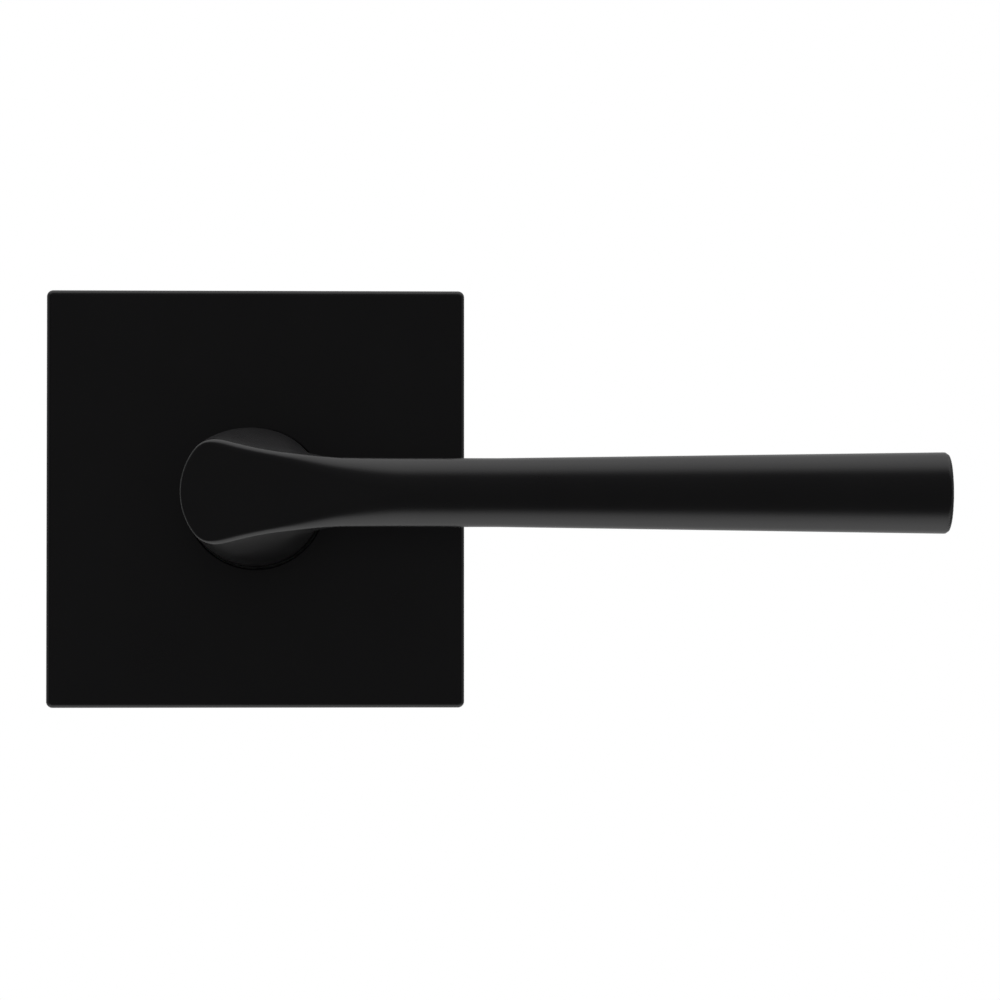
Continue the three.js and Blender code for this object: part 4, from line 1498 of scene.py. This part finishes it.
@dataclass
class Fixings:
    """The through screws with their lock washers, and the set screw under the neck."""

    thread: Thread = Thread(2.4, 0.8)
    head_radius: float = 4.3
    head: float = 2.5
    plain: float = 7.0
    washer_in: float = 2.64
    split_half: float = 0.35
    split_tilt: float = 25.0
    grub_chamfer: float = 0.5
    socket_flat: float = 2.5

    def build_through(self, name: str) -> None:
        """Builds and dresses one through screw and its washer.

        Args:
            name: left or right.
        """
        span = Span.of(f"through_screw_{name}")
        seat = span.low.y + self.head
        screw = pan_screw(self.thread, self.head_radius, self.head, span.high.y - seat, self.plain)
        place = Matrix.Translation((span.centre.x, seat, 0))
        moved(screw, place)
        shade(piece(f"pan_head_screw_{name}", screw, PLATED_TURNED_STEEL, DOOR_SIDE, f"through_screw_{name}"))
        gap = Span.of(f"lock_washer_{name}")
        washer = ring(
            self.washer_in, self.head_radius, gap.low.y, gap.high.y, [0.12] * 4, MIDDLE_ROUND,
        )
        tilt = Matrix.Rotation(math.radians(self.split_tilt), 4, "Z")
        split = block((-self.split_half, -3, 0), (self.split_half, 3, 6))
        moved(split, Matrix.Translation((0, gap.centre.y, 0)) @ tilt)
        washer = moved(combine(washer, "DIFFERENCE", split), Matrix.Translation((span.centre.x, 0, 0)))
        shade(piece(f"split_washer_{name}", washer, TEMPERED_SPRING_STEEL, DOOR_SIDE, f"lock_washer_{name}"))

    def build_set_screw(self) -> None:
        """Builds and dresses the grub screw, with its hex socket facing down."""
        span = Span.of("set_screw")
        length = span.high.z - span.low.z
        screw = self.thread.rod(0, length, self.grub_chamfer)
        socket = rod(self.socket_flat / math.sqrt(3), -1, length * 0.5, 6)
        mesh = combine(screw, "DIFFERENCE", socket)
        place = Matrix.Translation((0, span.centre.y, span.low.z)) @ Matrix.Rotation(math.pi / 2, 4, "X")
        shade(piece("grub_screw", moved(mesh, place), BLACK_OXIDE_STEEL, LEVER_SIDE, "set_screw"))

    def build(self) -> None:
        """Builds the pieces in order."""
        self.build_through("left")
        self.build_through("right")
        self.build_set_screw()


# ------------------------------------------------------------------ stage


@dataclass
class Stage:
    """The camera, the light and the floor."""

    eye: tuple[float, float, float] = (0.0108, -0.7086, -0.0156)
    aim: tuple[float, float, float] = (0.03906, -0.0086, -0.00014)
    lens: float = 157.6
    film: float = 36.0
    floor_below: float = 1.5
    floor_radius: float = 6.0
    floor_glow: float = 0.6
    dark_from: float = 53.0
    dark_to: float = 85.0
    opening: float = 0.105
    side_from: float = 0.5
    side_to: float = 0.9
    side_walls: float = 0.3
    back_from: float = 100.0
    back_to: float = 145.0
    back_wall: float = 0.5

    def camera(self) -> None:
        """Makes the camera at the viewing angle."""
        data = bpy.data.cameras.new("camera")
        data.lens = self.lens
        data.sensor_width = self.film
        data.clip_start = 0.01
        data.clip_end = 100
        eye = in_scene("camera", data)
        eye.location = self.eye
        eye.rotation_euler = (Vector(self.aim) - Vector(self.eye)).to_track_quat("-Z", "Y").to_euler()
        bpy.context.scene.camera = eye

    def light(self) -> None:
        """Makes a white studio: bright above and below, dimmer walls, and a dark opening in front."""
        world = bpy.data.worlds.new("studio")
        bpy.context.scene.world = world
        world.use_nodes = True
        tree = world.node_tree
        tree.nodes.clear()
        way = add_node(tree, "ShaderNodeTexCoord").outputs["Generated"]
        towards = add_node(
            tree, "ShaderNodeVectorMath", {"operation": "DOT_PRODUCT"}, _0=way, _1=(0.0, -1.0, 0.0),
        ).outputs["Value"]
        open_at = add_node(
            tree, "ShaderNodeMapRange", {"interpolation_type": "SMOOTHSTEP"}, Value=towards,
            From_Min=math.cos(math.radians(self.dark_to)),
            From_Max=math.cos(math.radians(self.dark_from)),
            To_Min=1.0, To_Max=self.opening,
        ).outputs["Result"]
        behind = add_node(
            tree, "ShaderNodeMapRange", {"interpolation_type": "SMOOTHSTEP"}, Value=towards,
            From_Min=math.cos(math.radians(self.back_from)),
            From_Max=math.cos(math.radians(self.back_to)),
            To_Min=1.0, To_Max=self.back_wall,
        ).outputs["Result"]
        across = add_node(
            tree, "ShaderNodeVectorMath", {"operation": "DOT_PRODUCT"}, _0=way, _1=(1.0, 0.0, 0.0),
        ).outputs["Value"]
        sideways = add_node(tree, "ShaderNodeMath", {"operation": "ABSOLUTE"}, _0=across).outputs[0]
        walls = add_node(
            tree, "ShaderNodeMapRange", {"interpolation_type": "SMOOTHSTEP"}, Value=sideways,
            From_Min=self.side_from, From_Max=self.side_to, To_Min=1.0, To_Max=self.side_walls,
        ).outputs["Result"]
        beside = add_node(
            tree, "ShaderNodeMath", {"operation": "MULTIPLY"}, _0=open_at, _1=walls,
        ).outputs[0]
        strength = add_node(
            tree, "ShaderNodeMath", {"operation": "MULTIPLY"}, _0=beside, _1=behind,
        ).outputs[0]
        seen = add_node(tree, "ShaderNodeLightPath").outputs["Is Camera Ray"]
        room = add_node(tree, "ShaderNodeBackground", Color=(1.0, 1.0, 1.0, 1.0), Strength=strength)
        plain = add_node(tree, "ShaderNodeBackground", Color=(1.0, 1.0, 1.0, 1.0), Strength=1.0)
        mixed = add_node(
            tree, "ShaderNodeMixShader", Fac=seen, _1=room.outputs[0], _2=plain.outputs[0],
        )
        add_node(tree, "ShaderNodeOutputWorld", Surface=mixed.outputs[0])

    def floor(self) -> None:
        """Lays a plain pale floor well below the handle."""
        mesh = bmesh.new()
        bmesh.ops.create_circle(mesh, cap_ends=True, segments=MIDDLE_ROUND, radius=self.floor_radius)
        bmesh.ops.translate(mesh, vec=(0, 0, -self.floor_below), verts=mesh.verts)
        made = as_object(mesh, "floor")
        paint = bpy.data.materials.new("matt_white_painted_board")
        paint.use_nodes = True
        shader = paint.node_tree.nodes["Principled BSDF"]
        shader.inputs["Base Color"].default_value = linear("#ffffff")
        shader.inputs["Roughness"].default_value = 0.9
        shader.inputs["Emission Color"].default_value = linear("#ffffff")
        shader.inputs["Emission Strength"].default_value = self.floor_glow
        made.data.materials.append(paint)
        made.visible_glossy = False
        made.visible_diffuse = False

    def build(self) -> None:
        """Makes the stage, and keeps whites white."""
        bpy.context.scene.view_settings.view_transform = "Standard"
        self.camera()
        self.light()
        self.floor()


def main() -> None:
    """Builds the whole handle on its stage."""
    logging.basicConfig(level=logging.INFO, format="%(message)s")
    for part in (Stage(), Lever(), Rose(), Plate(), Drive(), SpringCase(), Fixings()):
        log.info("building %s", type(part).__name__)
        part.build()


if __name__ == "__main__":
    main()
